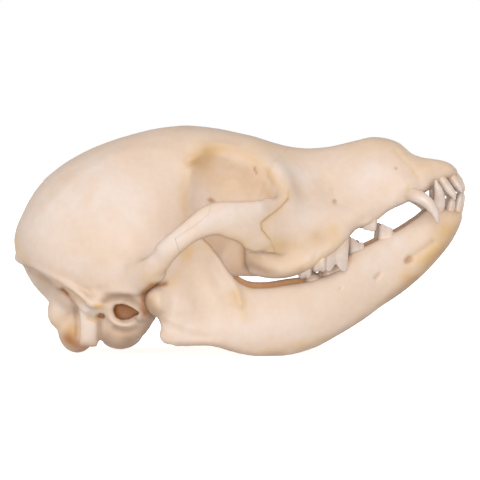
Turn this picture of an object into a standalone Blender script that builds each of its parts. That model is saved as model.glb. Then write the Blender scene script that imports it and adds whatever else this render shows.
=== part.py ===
"""A small dog's skull, life size, lying on its lower jaw and occipital condyles.

Lengths are written in millimetres and scaled by MM into Blender's metres. +X is forwards along the
muzzle, +Y is the animal's left and +Z is up. The floor that the skull lies on is at Z = 0.

Each bone is skinned over rings of points, the pieces that grow together are voxel-remeshed into one
surface, hollows are cut from it, and the cranium is then parted along its sutures.
"""
import math

import bmesh
import bpy
import numpy as np
from mathutils import Matrix, Vector

MM = 0.001
GAP = 0.3                     # left between bones that touch
RING_SIDES = 48
STATIONS = 90
TOOTH_SIDES = 7
TOOTH_STATIONS = 5
TOOTH_ROOT = 3.0              # how far a tooth is sunk into its jaw

VOXEL = 0.9
WELD = 0.03                   # points closer than this become one
CRANIUM_SMOOTHING = 8
MANDIBLE_SMOOTHING = 6
CRANIUM_TRIANGLES = 6400
MANDIBLE_TRIANGLES = 1500
FLOOR = 1.6                   # where the resting points are cut flat, before the skull is set down

BONE = (0.86, 0.76, 0.64, 1.0)

# Side view of the cranium: the midline from the occiput over the dome to the incisors.
TOP_LINE = [
    (-82.4, 42.5), (-81.6, 47.5), (-79.7, 52.4), (-76.9, 57.4), (-72.5, 63.6), (-65.1, 70.0),
    (-53.4, 76.3), (-41.7, 80.5), (-30.0, 83.4), (-18.3, 84.5), (-8.0, 83.3), (5.1, 80.5),
    (15.0, 77.5), (24.0, 76.1), (33.0, 76.8), (42.0, 78.8), (49.0, 80.2), (54.5, 79.3),
    (60.0, 76.6), (63.0, 74.7), (66.0, 73.8), (71.0, 73.2), (75.5, 71.8), (78.5, 69.4), (80.6, 66.2),
    (81.4, 64.0),
]
BASE_LINE = [
    (-82.4, 42.5), (-81.6, 37.5), (-77.4, 31.0), (-71.0, 22.5), (-62.0, 15.0), (-50.0, 12.5),
    (-38.0, 14.0), (-25.0, 19.0), (-10.0, 27.0), (5.0, 33.0), (15.0, 36.0),
]
# Plan of the braincase: half-width at its widest level.
CASE_PLAN = [
    (-82.4, 0.0), (-81.9, 6.0), (-79.6, 12.5), (-75.0, 19.0), (-68.0, 24.5), (-58.0, 28.0),
    (-46.0, 29.6), (-35.0, 29.2), (-26.0, 27.4), (-18.0, 24.0), (-10.0, 18.6), (0.0, 14.6),
    (12.0, 13.0),
]
CASE_LEVEL = 43.0             # height of the braincase's greatest width

# Face: x, bottom, half-width at the top, middle and bottom.
FACE = [
    (-25.0, 50.0, 14.0, 17.0, 12.0),
    (-18.5, 46.0, 19.6, 20.5, 13.0),
    (-9.0, 41.0, 18.6, 19.5, 13.5),
    (0.0, 36.0, 17.0, 20.0, 16.0),
    (9.0, 31.0, 16.5, 25.0, 25.0),
    (15.0, 28.0, 14.0, 26.0, 28.5),
    (22.0, 28.6, 11.0, 22.5, 29.0),
    (30.0, 33.0, 9.0, 19.5, 28.5),
    (36.0, 38.0, 8.5, 17.0, 26.0),
    (43.0, 46.6, 9.0, 15.5, 22.0),
    (50.0, 52.2, 10.0, 15.5, 18.5),
    (57.0, 55.2, 11.0, 15.5, 17.0),
    (63.0, 57.0, 11.5, 15.0, 16.6),
    (69.0, 60.4, 11.0, 13.2, 13.6),
    (74.0, 64.2, 9.4, 11.2, 11.4),
    (78.2, 65.5, 6.8, 8.2, 8.2),
    (80.2, 65.8, 2.5, 3.4, 3.4),
]

# Tooth-bearing margin of the upper jaw: x, bottom, y outwards, half-thickness.
UPPER_MARGIN = [
    (3.0, 30.6, 21.0, 2.6), (12.5, 28.4, 24.3, 4.0), (20.3, 29.7, 25.4, 4.4), (25.6, 32.6, 25.4, 4.4),
    (30.6, 36.1, 24.8, 4.2), (35.6, 39.8, 23.2, 4.0), (39.0, 43.0, 21.2, 3.8), (41.5, 47.4, 19.2, 3.6),
    (45.3, 49.2, 17.8, 3.6),
    (50.3, 52.2, 15.6, 3.6), (54.0, 53.6, 14.4, 3.8), (60.0, 55.8, 12.6, 3.8), (66.0, 59.2, 11.2, 3.6),
    (70.0, 61.8, 10.0, 3.2), (74.0, 64.2, 8.0, 2.8), (77.4, 65.0, 5.4, 2.8),
]
MARGIN_HEIGHT = 9.0

# Zygomatic arch, right side: x, y outwards, z, half-height, half-thickness.
ARCH = [
    (29.0, 18.5, 50.0, 5.0, 3.0), (21.5, 23.0, 48.8, 8.0, 3.6), (14.0, 28.2, 48.6, 10.2, 3.4),
    (7.7, 33.2, 48.2, 9.5, 2.8),
    (0.0, 37.5, 49.8, 7.3, 2.5), (-8.7, 40.5, 50.6, 5.9, 2.4), (-17.5, 42.5, 46.0, 4.1, 2.5),
    (-24.4, 42.0, 40.3, 4.0, 2.7), (-31.0, 37.5, 33.5, 5.0, 3.4), (-36.0, 31.6, 29.6, 6.2, 4.2),
    (-42.0, 26.0, 27.4, 5.2, 3.8), (-49.0, 22.4, 25.8, 4.0, 3.2),
]
ARCH_KNOB = ((-29.6, 37.2, 32.2), (4.3, 2.8, 4.4))

# Front rim of the orbit, and the bone from the ear's bulb to the jaw joint; columns as in ARCH.
ORBIT_FRONT = [
    (17.0, 26.5, 53.0, 3.2, 3.6), (17.0, 24.4, 58.0, 3.2, 3.8), (16.6, 21.2, 62.6, 3.2, 3.6),
    (14.4, 18.4, 67.0, 3.0, 3.2), (11.0, 16.6, 70.6, 2.6, 2.6),
]
EAR_BRIDGE = [
    (-44.0, 19.0, 9.6, 4.6, 4.0), (-38.2, 21.0, 11.2, 4.6, 4.2), (-34.0, 23.4, 14.2, 3.6, 3.8),
    (-31.4, 25.6, 16.8, 2.2, 3.2),
]

# Nuchal crest, right side, from the back of the dome to the mastoid: x, y outwards, z and radius twice.
NUCHAL_CREST = [
    (-81.0, 0.0, 36.2, 1.8, 1.8), (-79.0, 9.0, 34.6, 1.5, 1.5), (-74.0, 16.0, 31.5, 1.3, 1.3),
    (-67.5, 21.5, 28.6, 1.4, 1.4), (-61.5, 24.5, 25.8, 1.5, 1.5), (-56.5, 26.0, 22.6, 1.6, 1.6),
    (-52.0, 26.5, 19.8, 1.9, 1.9), (-45.0, 27.0, 20.0, 1.8, 1.8),
]
NUCHAL_TOP = 37.0
NUCHAL_SLOPE = 33.0           # degrees that the surface under the crest leans from the level

# Wing of bone behind the palate; columns as in ARCH.
PALATE_WING = [
    (16.0, 15.0, 35.4, 5.6, 3.0), (6.0, 13.0, 37.2, 6.2, 2.4), (-4.0, 11.5, 37.4, 6.2, 2.0),
    (-14.0, 10.5, 32.0, 6.0, 1.8), (-22.0, 9.0, 26.0, 4.0, 1.6),
]

# Side-view sutures, x and z: between muzzle and braincase, and round each cheek bone.
FACE_SUTURE = [(21.0, 95.0), (18.5, 76.5), (12.0, 70.5), (6.5, 56.0), (2.0, 40.0), (-1.0, 15.0)]
CHEEK_SUTURE = [
    (13.5, 68.0), (17.8, 59.8), (8.3, 49.0), (11.2, 42.8), (11.0, 35.0), (-14.0, 33.0),
    (-19.0, 39.0), (-10.0, 56.5), (-8.0, 68.0),
]
CHEEK_INSIDE = 25.0           # the cheek bone lies outwards of this

# Single-rooted teeth, right side: gum point, tip, bow forwards and down, size along and across the jaw.
UPPER_PEGS = [
    ((78.8, 2.2, 65.8), (82.1, 2.0, 59.8), (0.4, 0.4), 2.4, 3.0),
    ((77.0, 6.0, 65.6), (80.8, 6.3, 59.4), (0.5, 0.4), 2.8, 3.0),
    ((73.6, 9.2, 64.2), (77.9, 10.6, 57.0), (0.6, 0.6), 3.4, 3.4),
    ((61.6, 14.4, 59.4), (71.6, 16.6, 48.2), (1.9, -1.9), 5.8, 4.4),
]
LOWER_PEGS = [
    ((79.6, 1.8, 52.4), (81.3, 1.8, 58.8), (-0.2, -0.2), 2.2, 2.6),
    ((78.6, 4.6, 52.4), (80.2, 4.6, 58.4), (-0.2, -0.2), 2.4, 2.6),
    ((77.0, 7.2, 52.0), (77.7, 7.6, 57.0), (-0.2, -0.2), 2.8, 2.8),
    ((74.6, 8.9, 51.5), (70.9, 13.4, 64.0), (-0.8, 0.6), 5.0, 4.2),
]
# Cheek teeth, right side: the cusp line from gum to gum as (x, z), y outwards, full width.
UPPER_CROWNS = [
    (((44.2, 49.4), (45.6, 45.8), (48.4, 45.2), (50.0, 47.4), (50.6, 53.0)), 17.2, 3.0),
    (((30.2, 36.4), (32.6, 30.9), (35.3, 32.6), (38.7, 30.2), (39.8, 36.0), (40.4, 44.0)), 24.4, 4.4),
    (((25.8, 33.4), (27.2, 30.8), (29.6, 30.6), (31.5, 35.9)), 24.2, 7.0),
    (((21.2, 31.4), (22.4, 28.6), (24.8, 29.0), (26.2, 32.4)), 23.4, 6.0),
]
LOWER_CROWNS = [
    (((50.6, 42.4), (52.0, 48.2), (54.4, 46.8), (56.8, 45.0)), 13.0, 2.6),
    (((40.2, 36.6), (41.6, 43.3), (44.0, 42.4), (46.8, 39.4)), 15.9, 3.0),
    (((29.6, 29.8), (32.0, 34.2), (35.0, 35.0), (37.2, 37.8), (39.4, 35.6)), 18.4, 3.8),
    (((23.8, 28.2), (25.2, 31.0), (27.8, 31.2), (29.0, 29.0)), 20.4, 3.8),
]

# Lower jaw, right side: x, top, bottom, y outwards, half-thickness at the top, middle and bottom.
JAW = [
    (-29.4, 26.0, 17.4, 31.5, 1.2, 1.8, 1.6),
    (-27.6, 31.5, 12.0, 31.5, 1.3, 2.0, 2.0),
    (-25.2, 37.0, 5.8, 31.4, 1.4, 2.0, 2.6),
    (-22.5, 42.0, 5.3, 31.0, 1.3, 2.0, 3.0),
    (-17.5, 46.5, 5.4, 30.4, 1.3, 2.0, 3.3),
    (-12.5, 43.0, 5.5, 29.6, 1.5, 2.2, 3.5),
    (-7.0, 36.5, 4.6, 28.4, 1.8, 2.8, 3.7),
    (-2.6, 30.0, 3.2, 27.4, 2.4, 3.6, 3.8),
    (3.0, 26.4, 2.0, 26.2, 3.4, 4.4, 3.9),
    (10.0, 26.0, 1.2, 24.8, 4.0, 5.0, 4.0),
    (18.0, 27.2, 1.8, 23.2, 4.2, 5.2, 4.0),
    (27.0, 28.8, 3.9, 21.0, 4.4, 5.2, 4.0),
    (36.0, 33.0, 8.3, 18.6, 4.2, 5.0, 4.0),
    (44.0, 38.6, 13.4, 16.0, 4.0, 4.8, 4.0),
    (51.0, 43.2, 18.3, 13.4, 3.8, 4.8, 4.4),
    (58.5, 46.9, 23.2, 10.8, 4.0, 5.2, 5.2),
    (64.5, 50.8, 27.9, 9.2, 4.4, 5.6, 5.6),
    (68.0, 53.2, 31.2, 8.4, 4.8, 6.0, 5.6),
    (73.0, 53.8, 36.6, 7.2, 5.2, 6.0, 5.6),
    (78.4, 53.2, 43.7, 5.2, 4.4, 4.8, 4.0),
    (81.0, 52.4, 49.0, 4.0, 2.0, 2.4, 2.0),
]
JAW_KNOB = ((-28.2, -31.0, 21.5), (4.8, 5.2, 5.5))
JAW_NECK = ((-22.8, -31.4, 20.6), (8.0, 3.0, 7.0))


def through(points, count=600):
    """Dense points on a smooth curve through the given ones, with chord-length spacing."""
    points = np.asarray(points, float)
    chord = np.r_[0.0, np.cumsum(np.linalg.norm(np.diff(points[:, :2], axis=0), axis=1))]
    slopes = np.gradient(points, chord, axis=0)
    at = np.linspace(0.0, chord[-1], count)
    left = np.clip(np.searchsorted(chord, at, side="right") - 1, 0, len(chord) - 2)
    span = (chord[left + 1] - chord[left])[:, None]
    t = ((at - chord[left]) / span[:, 0])[:, None]
    return (
        (2 * t**3 - 3 * t**2 + 1) * points[left] + (t**3 - 2 * t**2 + t) * span * slopes[left]
        + (3 * t**2 - 2 * t**3) * points[left + 1] + (t**3 - t**2) * span * slopes[left + 1]
    )


def height_on(line, x):
    """The height of a side-view line at x."""
    dense = through(line)
    return np.interp(x, dense[:, 0], dense[:, 1])


def eased(first, last, count=STATIONS):
    """Stations between two ends, closer together near each end."""
    return first + (last - first) * (1 - np.cos(np.linspace(0.02, math.pi - 0.02, count))) / 2


def upright_rings(x, top, level, bottom, wide_top, wide_mid, wide_low, y=0.0, power=2.3):
    """Rings in upright planes across X: superellipses whose width changes from top to bottom.

    At height S from -1 to 1 the half-width is a parabola through the three given widths.
    """
    angle = np.linspace(0, 2 * math.pi, RING_SIDES, endpoint=False)[None, :]
    across = np.sign(np.cos(angle)) * np.abs(np.cos(angle)) ** (2 / power)
    up = np.sign(np.sin(angle)) * np.abs(np.sin(angle)) ** (2 / power)
    x, top, level, bottom, wide_top, wide_mid, wide_low, y = (
        np.broadcast_to(v, np.shape(x))[:, None] for v in
        (x, top, level, bottom, wide_top, wide_mid, wide_low, y)
    )
    half = wide_mid + (wide_top - wide_low) / 2 * up
    half = half + ((wide_top + wide_low) / 2 - wide_mid) * up**2
    z = level + np.where(up > 0, top - level, level - bottom) * up
    return np.stack([np.broadcast_to(x, z.shape), y + across * half, z], axis=2)


def tube_rings(route, power=2.2, stations=STATIONS, sides=RING_SIDES):
    """Rings square to a route of (x, y, z, half-height, half-thickness)."""
    route = through(route, stations)
    centre = route[:, :3]
    ahead = np.gradient(centre, axis=0)
    ahead /= np.linalg.norm(ahead, axis=1)[:, None]
    side = np.array([0.0, 1.0, 0.0]) - ahead[:, 1:2] * ahead
    side /= np.linalg.norm(side, axis=1)[:, None]
    up = np.cross(ahead, side)
    angle = np.linspace(0, 2 * math.pi, sides, endpoint=False)[None, :, None]
    across = np.sign(np.cos(angle)) * np.abs(np.cos(angle)) ** (2 / power)
    rise = np.sign(np.sin(angle)) * np.abs(np.sin(angle)) ** (2 / power)
    return (
        centre[:, None, :] + across * route[:, None, 4:5] * side[:, None, :]
        + rise * route[:, None, 3:4] * up[:, None, :]
    )


def skin(bm, rings):
    """Closes a surface over a stack of rings, with a fan at each end."""
    loops = [[bm.verts.new(Vector(p) * MM) for p in ring] for ring in rings]
    for low, high in zip(loops, loops[1:]):
        for i in range(len(low)):
            j = (i + 1) % len(low)
            bm.faces.new((low[i], low[j], high[j], high[i]))
    for ring, loop, turned in ((rings[0], loops[0], True), (rings[-1], loops[-1], False)):
        tip = bm.verts.new(Vector(np.mean(ring, axis=0)) * MM)
        for i in range(len(loop)):
            pair = (loop[i], loop[(i + 1) % len(loop)])
            bm.faces.new((*(pair[::-1] if turned else pair), tip))


def sided(route, side):
    """A right-hand route of (x, y outwards, z, ...) on the given side."""
    route = np.array(route, float)
    route[:, 1] *= side
    return route


def ellipsoid(bm, centre, radii, turn=(0.0, 0.0, 0.0)):
    """An ellipsoid, turned about X, Y and Z by the given degrees."""
    turned = Matrix.Translation(Vector(centre) * MM)
    for axis, degrees in zip("ZYX", reversed(turn)):
        turned = turned @ Matrix.Rotation(math.radians(degrees), 4, axis)
    matrix = turned @ Matrix.Diagonal((*(Vector(radii) * MM), 1.0))
    bmesh.ops.create_uvsphere(bm, u_segments=32, v_segments=20, radius=1.0, matrix=matrix)


def box(bm, centre, size, turn_y=0.0):
    """A box, turned about Y."""
    matrix = (
        Matrix.Translation(Vector(centre) * MM)
        @ Matrix.Rotation(math.radians(turn_y), 4, "Y")
        @ Matrix.Diagonal((*(Vector(size) * MM), 1.0))
    )
    bmesh.ops.create_cube(bm, size=1.0, matrix=matrix)


def side_prism(bm, outline, near, far):
    """A side-view outline of (x, z), extruded from y near to y far."""
    first = [bm.verts.new(Vector((x, near, z)) * MM) for x, z in outline]
    second = [bm.verts.new(Vector((x, far, z)) * MM) for x, z in outline]
    bm.faces.new(first)
    bm.faces.new(second[::-1])
    for i in range(len(outline)):
        j = (i + 1) % len(outline)
        bm.faces.new((first[j], first[i], second[i], second[j]))


def make_object(name, build, *arguments):
    """A mesh object filled by a function that draws into a bmesh."""
    bm = bmesh.new()
    build(bm, *arguments)
    bmesh.ops.recalc_face_normals(bm, faces=bm.faces)
    mesh = bpy.data.meshes.new(name)
    bm.to_mesh(mesh)
    bm.free()
    obj = bpy.data.objects.new(name, mesh)
    bpy.context.scene.collection.objects.link(obj)
    return obj


def add_to(obj, build, *arguments):
    """Draws more closed shapes into an object's mesh, to be grown together with it."""
    more = bmesh.new()
    build(more, *arguments)
    bmesh.ops.recalc_face_normals(more, faces=more.faces)
    mesh = bpy.data.meshes.new("more")
    more.to_mesh(mesh)
    more.free()
    bm = bmesh.new()
    bm.from_mesh(obj.data)
    bm.from_mesh(mesh)
    bm.to_mesh(obj.data)
    bm.free()
    bpy.data.meshes.remove(mesh)


def copy_of(obj, name):
    """Another object with a mesh of its own."""
    twin = bpy.data.objects.new(name, obj.data.copy())
    bpy.context.scene.collection.objects.link(twin)
    return twin


def apply_modifiers(obj):
    """Keeps the shape that the object's modifiers give, and drops them."""
    graph = bpy.context.evaluated_depsgraph_get()
    graph.update()
    mesh = bpy.data.meshes.new_from_object(obj.evaluated_get(graph))
    obj.modifiers.clear()
    old, obj.data = obj.data, mesh
    bpy.data.meshes.remove(old)


def combine(obj, others, operation, solver="EXACT"):
    """One Boolean between an object and a list of others, which are then removed."""
    group = bpy.data.collections.new("operands")
    bpy.context.scene.collection.children.link(group)
    for other in others:
        group.objects.link(other)
    modifier = obj.modifiers.new("combine", "BOOLEAN")
    modifier.operation = operation
    modifier.solver = solver
    modifier.operand_type = "COLLECTION"
    modifier.collection = group
    apply_modifiers(obj)
    for other in others:
        bpy.data.objects.remove(other)
    bpy.data.collections.remove(group)


def remesh(obj, smoothing=0):
    """One even surface over all that the object holds, with its joins softened."""
    modifier = obj.modifiers.new("grow together", "REMESH")
    modifier.mode = "VOXEL"
    modifier.voxel_size = VOXEL * MM
    modifier.adaptivity = 0.0
    if smoothing:
        soften = obj.modifiers.new("soften", "SMOOTH")
        soften.factor = 0.5
        soften.iterations = smoothing
    apply_modifiers(obj)


def thin_out(obj, triangles):
    """Fewer triangles, where the surface is flattest."""
    obj.data.calc_loop_triangles()
    modifier = obj.modifiers.new("thin out", "DECIMATE")
    modifier.ratio = min(1.0, triangles / len(obj.data.loop_triangles))
    apply_modifiers(obj)


def keep_largest(obj):
    """Drops every closed surface but the largest."""
    bm = bmesh.new()
    bm.from_mesh(obj.data)
    left, shells = set(bm.verts), []
    while left:
        stack, shell = [left.pop()], []
        while stack:
            vertex = stack.pop()
            shell.append(vertex)
            near = {edge.other_vert(vertex) for edge in vertex.link_edges} & left
            left -= near
            stack.extend(near)
        shells.append(shell)
    shells.sort(key=len)
    bmesh.ops.delete(bm, geom=[v for shell in shells[:-1] for v in shell], context="VERTS")
    bmesh.ops.remove_doubles(bm, verts=bm.verts, dist=WELD * MM)
    bmesh.ops.dissolve_degenerate(bm, edges=bm.edges, dist=WELD * MM)
    bmesh.ops.triangulate(bm, faces=bm.faces)
    bm.to_mesh(obj.data)
    bm.free()


def mirror_right(obj):
    """Replaces the left half by the mirror image of the right."""
    modifier = obj.modifiers.new("both sides", "MIRROR")
    modifier.use_axis = (False, True, False)
    modifier.use_bisect_axis = (False, True, False)
    modifier.use_bisect_flip_axis = (False, True, False)
    modifier.merge_threshold = WELD * MM
    modifier.bisect_threshold = WELD * MM
    apply_modifiers(obj)
    keep_largest(obj)


def finish(obj, colour):
    """Smooth shading and the bone's own material."""
    material = bpy.data.materials.new(obj.name)
    material.use_nodes = True
    surface = material.node_tree.nodes["Principled BSDF"]
    surface.inputs["Base Color"].default_value = colour
    surface.inputs["Roughness"].default_value = 0.5
    obj.data.materials.clear()
    obj.data.materials.append(material)
    obj.data.shade_smooth()
    obj.data.set_sharp_from_angle(angle=math.radians(50))


def braincase(bm):
    """The domed braincase: a closed egg between the top and base lines."""
    x = eased(CASE_PLAN[0][0], CASE_PLAN[-1][0])
    top, base = height_on(TOP_LINE, x) - 0.3, height_on(BASE_LINE, x)
    wide = height_on(CASE_PLAN, x)
    level = np.clip(CASE_LEVEL, base + 0.3 * (top - base), top - 0.3 * (top - base))
    skin(bm, upright_rings(x, top, level, base, 0.82 * wide, wide, 0.95 * wide, power=2.4))


def face(bm):
    """The frontal roof and the muzzle down to the gum line."""
    x = eased(FACE[0][0], FACE[-1][0])
    table = through(FACE)
    bottom, high, middle, low = (np.interp(x, table[:, 0], table[:, i]) for i in range(1, 5))
    top = height_on(TOP_LINE, x) - 0.3
    skin(bm, upright_rings(x, top, (top + bottom) / 2, bottom, high, middle, low, power=3.0))


def upper_margin(bm, side):
    """The ridge of bone that holds one side's upper teeth."""
    table = through(UPPER_MARGIN)
    x = eased(UPPER_MARGIN[0][0], UPPER_MARGIN[-1][0])
    bottom, y, wide = (np.interp(x, table[:, 0], table[:, i]) for i in range(1, 4))
    top = np.minimum(bottom + MARGIN_HEIGHT, height_on(TOP_LINE, x) - 3.5)
    skin(bm, upright_rings(x, top, (top + bottom) / 2, bottom, wide, wide, wide, side * y, 3.0))


def skull_block(bm):
    """The braincase, face and tooth-bearing margins as one overlapping block."""
    braincase(bm)
    face(bm)
    for side in (-1, 1):
        upper_margin(bm, side)


def block_hollows(bm):
    """Cutters for the block: the eye sockets, and the sloping surface under the nuchal crest."""
    for side in (-1, 1):
        ellipsoid(bm, (-3.2, side * 34.0, 61.6), (20.4, 19.4, 22.4))
    slope = math.radians(NUCHAL_SLOPE)
    depth, back = 40.0, -82.4
    centre_x = back + 25.0 * math.cos(slope) - depth / 2 * math.sin(slope)
    centre_z = NUCHAL_TOP - 25.0 * math.sin(slope) - depth / 2 * math.cos(slope)
    box(bm, (centre_x, 0, centre_z), (66.0, 90.0, depth), NUCHAL_SLOPE)


def occiput(bm):
    """The bulge over the foramen magnum, the two condyles and the skull's floor."""
    ellipsoid(bm, (-69.0, 0.0, 31.4), (9.0, 15.0, 15.7), (0, -34, 0))
    ellipsoid(bm, (-59.0, 0.0, 24.5), (12.5, 20.0, 11.5), (0, 20, 0))
    floor = [
        (-62.0, 0, 12.0, 4.5, 8.0), (-50.0, 0, 13.5, 4.5, 9.5), (-35.0, 0, 18.0, 5.0, 9.0),
        (-18.0, 0, 27.0, 6.0, 9.0), (0.0, 0, 37.0, 6.0, 10.0), (12.0, 0, 40.0, 6.0, 12.0),
    ]
    skin(bm, tube_rings(floor))
    for side in (-1, 1):
        ellipsoid(bm, (-64.8, side * 10.0, 16.4), (5.2, 4.8, 6.4), (0, 6, 0))
        ellipsoid(bm, (-59.2, side * 9.6, 9.2), (7.2, 5.8, 8.3), (0, -8, 0))


def side_bones(bm, side):
    """What one side of the skull adds: arch, crest, bulla, processes and pterygoid wall."""
    skin(bm, tube_rings(sided(ARCH, side), power=2.4))
    (x, y, z), radii = ARCH_KNOB
    ellipsoid(bm, (x, side * y, z), radii)
    for route in (NUCHAL_CREST, ORBIT_FRONT, EAR_BRIDGE, PALATE_WING):
        skin(bm, tube_rings(sided(route, side)))
    ellipsoid(bm, (-42.8, side * 16.5, 11.8), (9.0, 8.0, 8.6))
    ellipsoid(bm, (-45.0, side * 19.0, 21.0), (13.0, 8.5, 8.0))
    ellipsoid(bm, (-38.0, side * 25.5, 24.6), (10.0, 6.8, 5.4))
    ellipsoid(bm, (-54.4, side * 18.5, 12.6), (4.0, 3.0, 9.8), (0, 0, 0))
    ellipsoid(bm, (-35.4, side * 27.0, 19.2), (3.8, 5.6, 6.4), (0, -32, 0))


def other_bones(bm):
    """All that grows on the block once its eye sockets are cut."""
    occiput(bm)
    for side in (-1, 1):
        side_bones(bm, side)


def other_hollows(bm):
    """Cutters: ear canals, jaw sockets, canine notches, nose, palate, throat, foramen magnum."""
    for side in (-1, 1):
        ellipsoid(bm, (-40.3, side * 28.0, 17.6), (4.5, 8.0, 3.1))
        ellipsoid(bm, (-28.2, side * 32.5, 21.6), (5.9, 9.0, 6.6), (0, -12, 0))
        ellipsoid(bm, (70.6, side * 16.0, 60.0), (3.3, 6.0, 7.2), (0, 20, 0))
    nose = [
        (38.0, 0, 68.0, 3.0, 4.0), (48.0, 0, 69.0, 5.5, 5.8), (58.0, 0, 70.0, 6.5, 7.0),
        (68.0, 0, 73.4, 8.4, 7.4), (77.0, 0, 80.5, 11.0, 7.6), (84.0, 0, 88.0, 12.0, 7.6),
    ]
    skin(bm, tube_rings(nose))
    palate = [
        (6.0, 0, 22.0, 8.0, 15.0), (24.0, 0, 27.5, 7.5, 18.0), (40.0, 0, 40.0, 6.5, 14.0),
        (54.0, 0, 51.5, 5.5, 10.0), (66.0, 0, 56.5, 4.0, 7.5), (72.0, 0, 58.6, 2.5, 5.0),
    ]
    skin(bm, tube_rings(palate))
    throat = [
        (-30.0, 0, 17.0, 2.0, 4.0), (-18.0, 0, 23.0, 5.5, 7.0), (-6.0, 0, 28.0, 6.5, 8.0),
        (5.0, 0, 32.0, 5.5, 8.5), (12.0, 0, 35.0, 3.0, 6.0),
    ]
    skin(bm, tube_rings(throat))
    foramen = [(-58.0, 0, 19.0, 5.5, 6.5), (-66.0, 0, 15.0, 6.0, 7.0), (-76.0, 0, 10.0, 7.0, 8.0)]
    skin(bm, tube_rings(foramen))


def make_cranium():
    """The whole upper skull as one surface, the same on both sides."""
    cranium = make_object("cranium", skull_block)
    remesh(cranium)
    combine(cranium, [make_object("hollows", block_hollows)], "DIFFERENCE", "MANIFOLD")
    add_to(cranium, other_bones)
    remesh(cranium)
    combine(cranium, [make_object("hollows", other_hollows)], "DIFFERENCE", "MANIFOLD")
    remesh(cranium, CRANIUM_SMOOTHING)
    keep_largest(cranium)
    thin_out(cranium, CRANIUM_TRIANGLES)
    mirror_right(cranium)
    return cranium


def jaw_body(bm):
    """The right half of the lower jaw with its condyle and angular process."""
    table = through(JAW)
    x = eased(JAW[0][0], JAW[-1][0])
    top, bottom, y, high, middle, low = (
        np.interp(x, table[:, 0], table[:, i]) for i in range(1, 7)
    )
    skin(bm, upright_rings(x, top, (top + bottom) / 2, bottom, high, middle, low, -y, power=2.4))
    ellipsoid(bm, *JAW_KNOB, (0, -12, 0))
    ellipsoid(bm, *JAW_NECK)
    ellipsoid(bm, (-25.0, -30.5, 8.8), (3.4, 2.4, 3.8))


def midline_cut(bm):
    """The far side of the symphysis."""
    box(bm, (30.0, 50.0 - GAP / 2, 30.0), (160.0, 100.0, 120.0))


def floor_cut(bm):
    """What would reach below the floor."""
    box(bm, (0.0, 0.0, FLOOR - 20.0), (220.0, 140.0, 40.0))


def make_mandible():
    """The right half of the lower jaw."""
    mandible = make_object("mandible_right", jaw_body)
    remesh(mandible, MANDIBLE_SMOOTHING)
    thin_out(mandible, MANDIBLE_TRIANGLES)
    combine(mandible, [make_object("far_side", midline_cut)], "DIFFERENCE")
    return mandible


def peg(bm, gum, tip, bow, along, across):
    """A single-rooted tooth: a bowed, tapering cone whose root is sunk below the gum point."""
    gum, tip = np.array(gum), np.array(tip)
    root = gum - (tip - gum) / np.linalg.norm(tip - gum) * TOOTH_ROOT
    middle = (root + tip) / 2 + np.array([bow[0], 0.0, -bow[1]])
    t = np.linspace(0, 1, TOOTH_STATIONS)[:, None]
    centre = (1 - t) ** 2 * root + 2 * t * (1 - t) * (2 * middle - (root + tip) / 2) + t**2 * tip
    taper = (1 - 0.88 * t**1.6)
    route = np.hstack([centre, taper * along / 2, taper * across / 2])
    skin(bm, tube_rings(route, 2.0, TOOTH_STATIONS, TOOTH_SIDES))


def crown(bm, cusps, y, width, up):
    """A cheek tooth: upright rings along the jaw, from the sunk root to the cusp line."""
    x, edge = np.array(cusps).T
    gum = np.interp(x, (x[0], x[-1]), (edge[0], edge[-1]))
    root = gum - up * TOOTH_ROOT
    edge = edge + up * 0.1
    u = 2 * (x - x[0]) / (x[-1] - x[0]) - 1
    blunt = width / 2 * np.sqrt(1 - 0.75 * u**2)
    sharp = blunt / 3
    top, bottom = np.maximum(edge, root), np.minimum(edge, root)
    high, low = (sharp, blunt) if up > 0 else (blunt, sharp)
    rings = upright_rings(x, top, (top + bottom) / 2, bottom, high, 0.9 * blunt, low, y)
    skin(bm, rings[:, :: RING_SIDES // 8])


def add_teeth(jaw, pegs, crowns, sides, up):
    """Fuses the teeth of the given sides to their jaw."""
    teeth = []
    for side in sides:
        for gum, tip, bow, along, across in pegs:
            ends = [(x, side * y, z) for x, y, z in (gum, tip)]
            teeth.append(make_object("tooth", peg, *ends, bow, along, across))
        for cusps, y, width in crowns:
            teeth.append(make_object("tooth", crown, cusps, side * y, width, up))
    combine(jaw, teeth, "UNION")
    keep_largest(jaw)


def grown(outline, distance):
    """A side-view outline moved outwards by a distance."""
    points = np.array(outline)
    along = np.roll(points, -1, axis=0) - points
    along /= np.linalg.norm(along, axis=1)[:, None]
    normal = np.stack([along[:, 1], -along[:, 0]], axis=1)
    turn = np.cross(along, np.roll(along, -1, axis=0)).sum()
    corner = normal + np.roll(normal, 1, axis=0)
    corner /= (corner * normal).sum(axis=1)[:, None]
    return points + math.copysign(distance, turn) * corner


def part_cheek(cranium, side, name):
    """Cuts one cheek bone free along its sutures."""
    inside, outside = side * CHEEK_INSIDE, side * 60.0
    cheek = copy_of(cranium, name)
    region = make_object("region", side_prism, CHEEK_SUTURE, inside, outside)
    combine(cheek, [region], "INTERSECT")
    wider = grown(CHEEK_SUTURE, GAP)
    region = make_object("region", side_prism, wider, inside - side * GAP, outside)
    combine(cranium, [region], "DIFFERENCE")
    keep_largest(cheek)
    return cheek


def part_face(cranium):
    """Parts the muzzle from the braincase along the face suture."""
    ends = (FACE_SUTURE[-1][1], FACE_SUTURE[0][1])
    behind = [*FACE_SUTURE, *((-120.0, z) for z in ends)]
    ahead = [*FACE_SUTURE, *((120.0, z) for z in ends)]
    rostrum = copy_of(cranium, "rostrum")
    for obj, outline in ((rostrum, grown(behind, GAP)), (cranium, ahead)):
        region = make_object("region", side_prism, outline, -70.0, 70.0)
        combine(obj, [region], "DIFFERENCE")
        keep_largest(obj)
    cranium.name = "braincase"
    return rostrum


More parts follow.
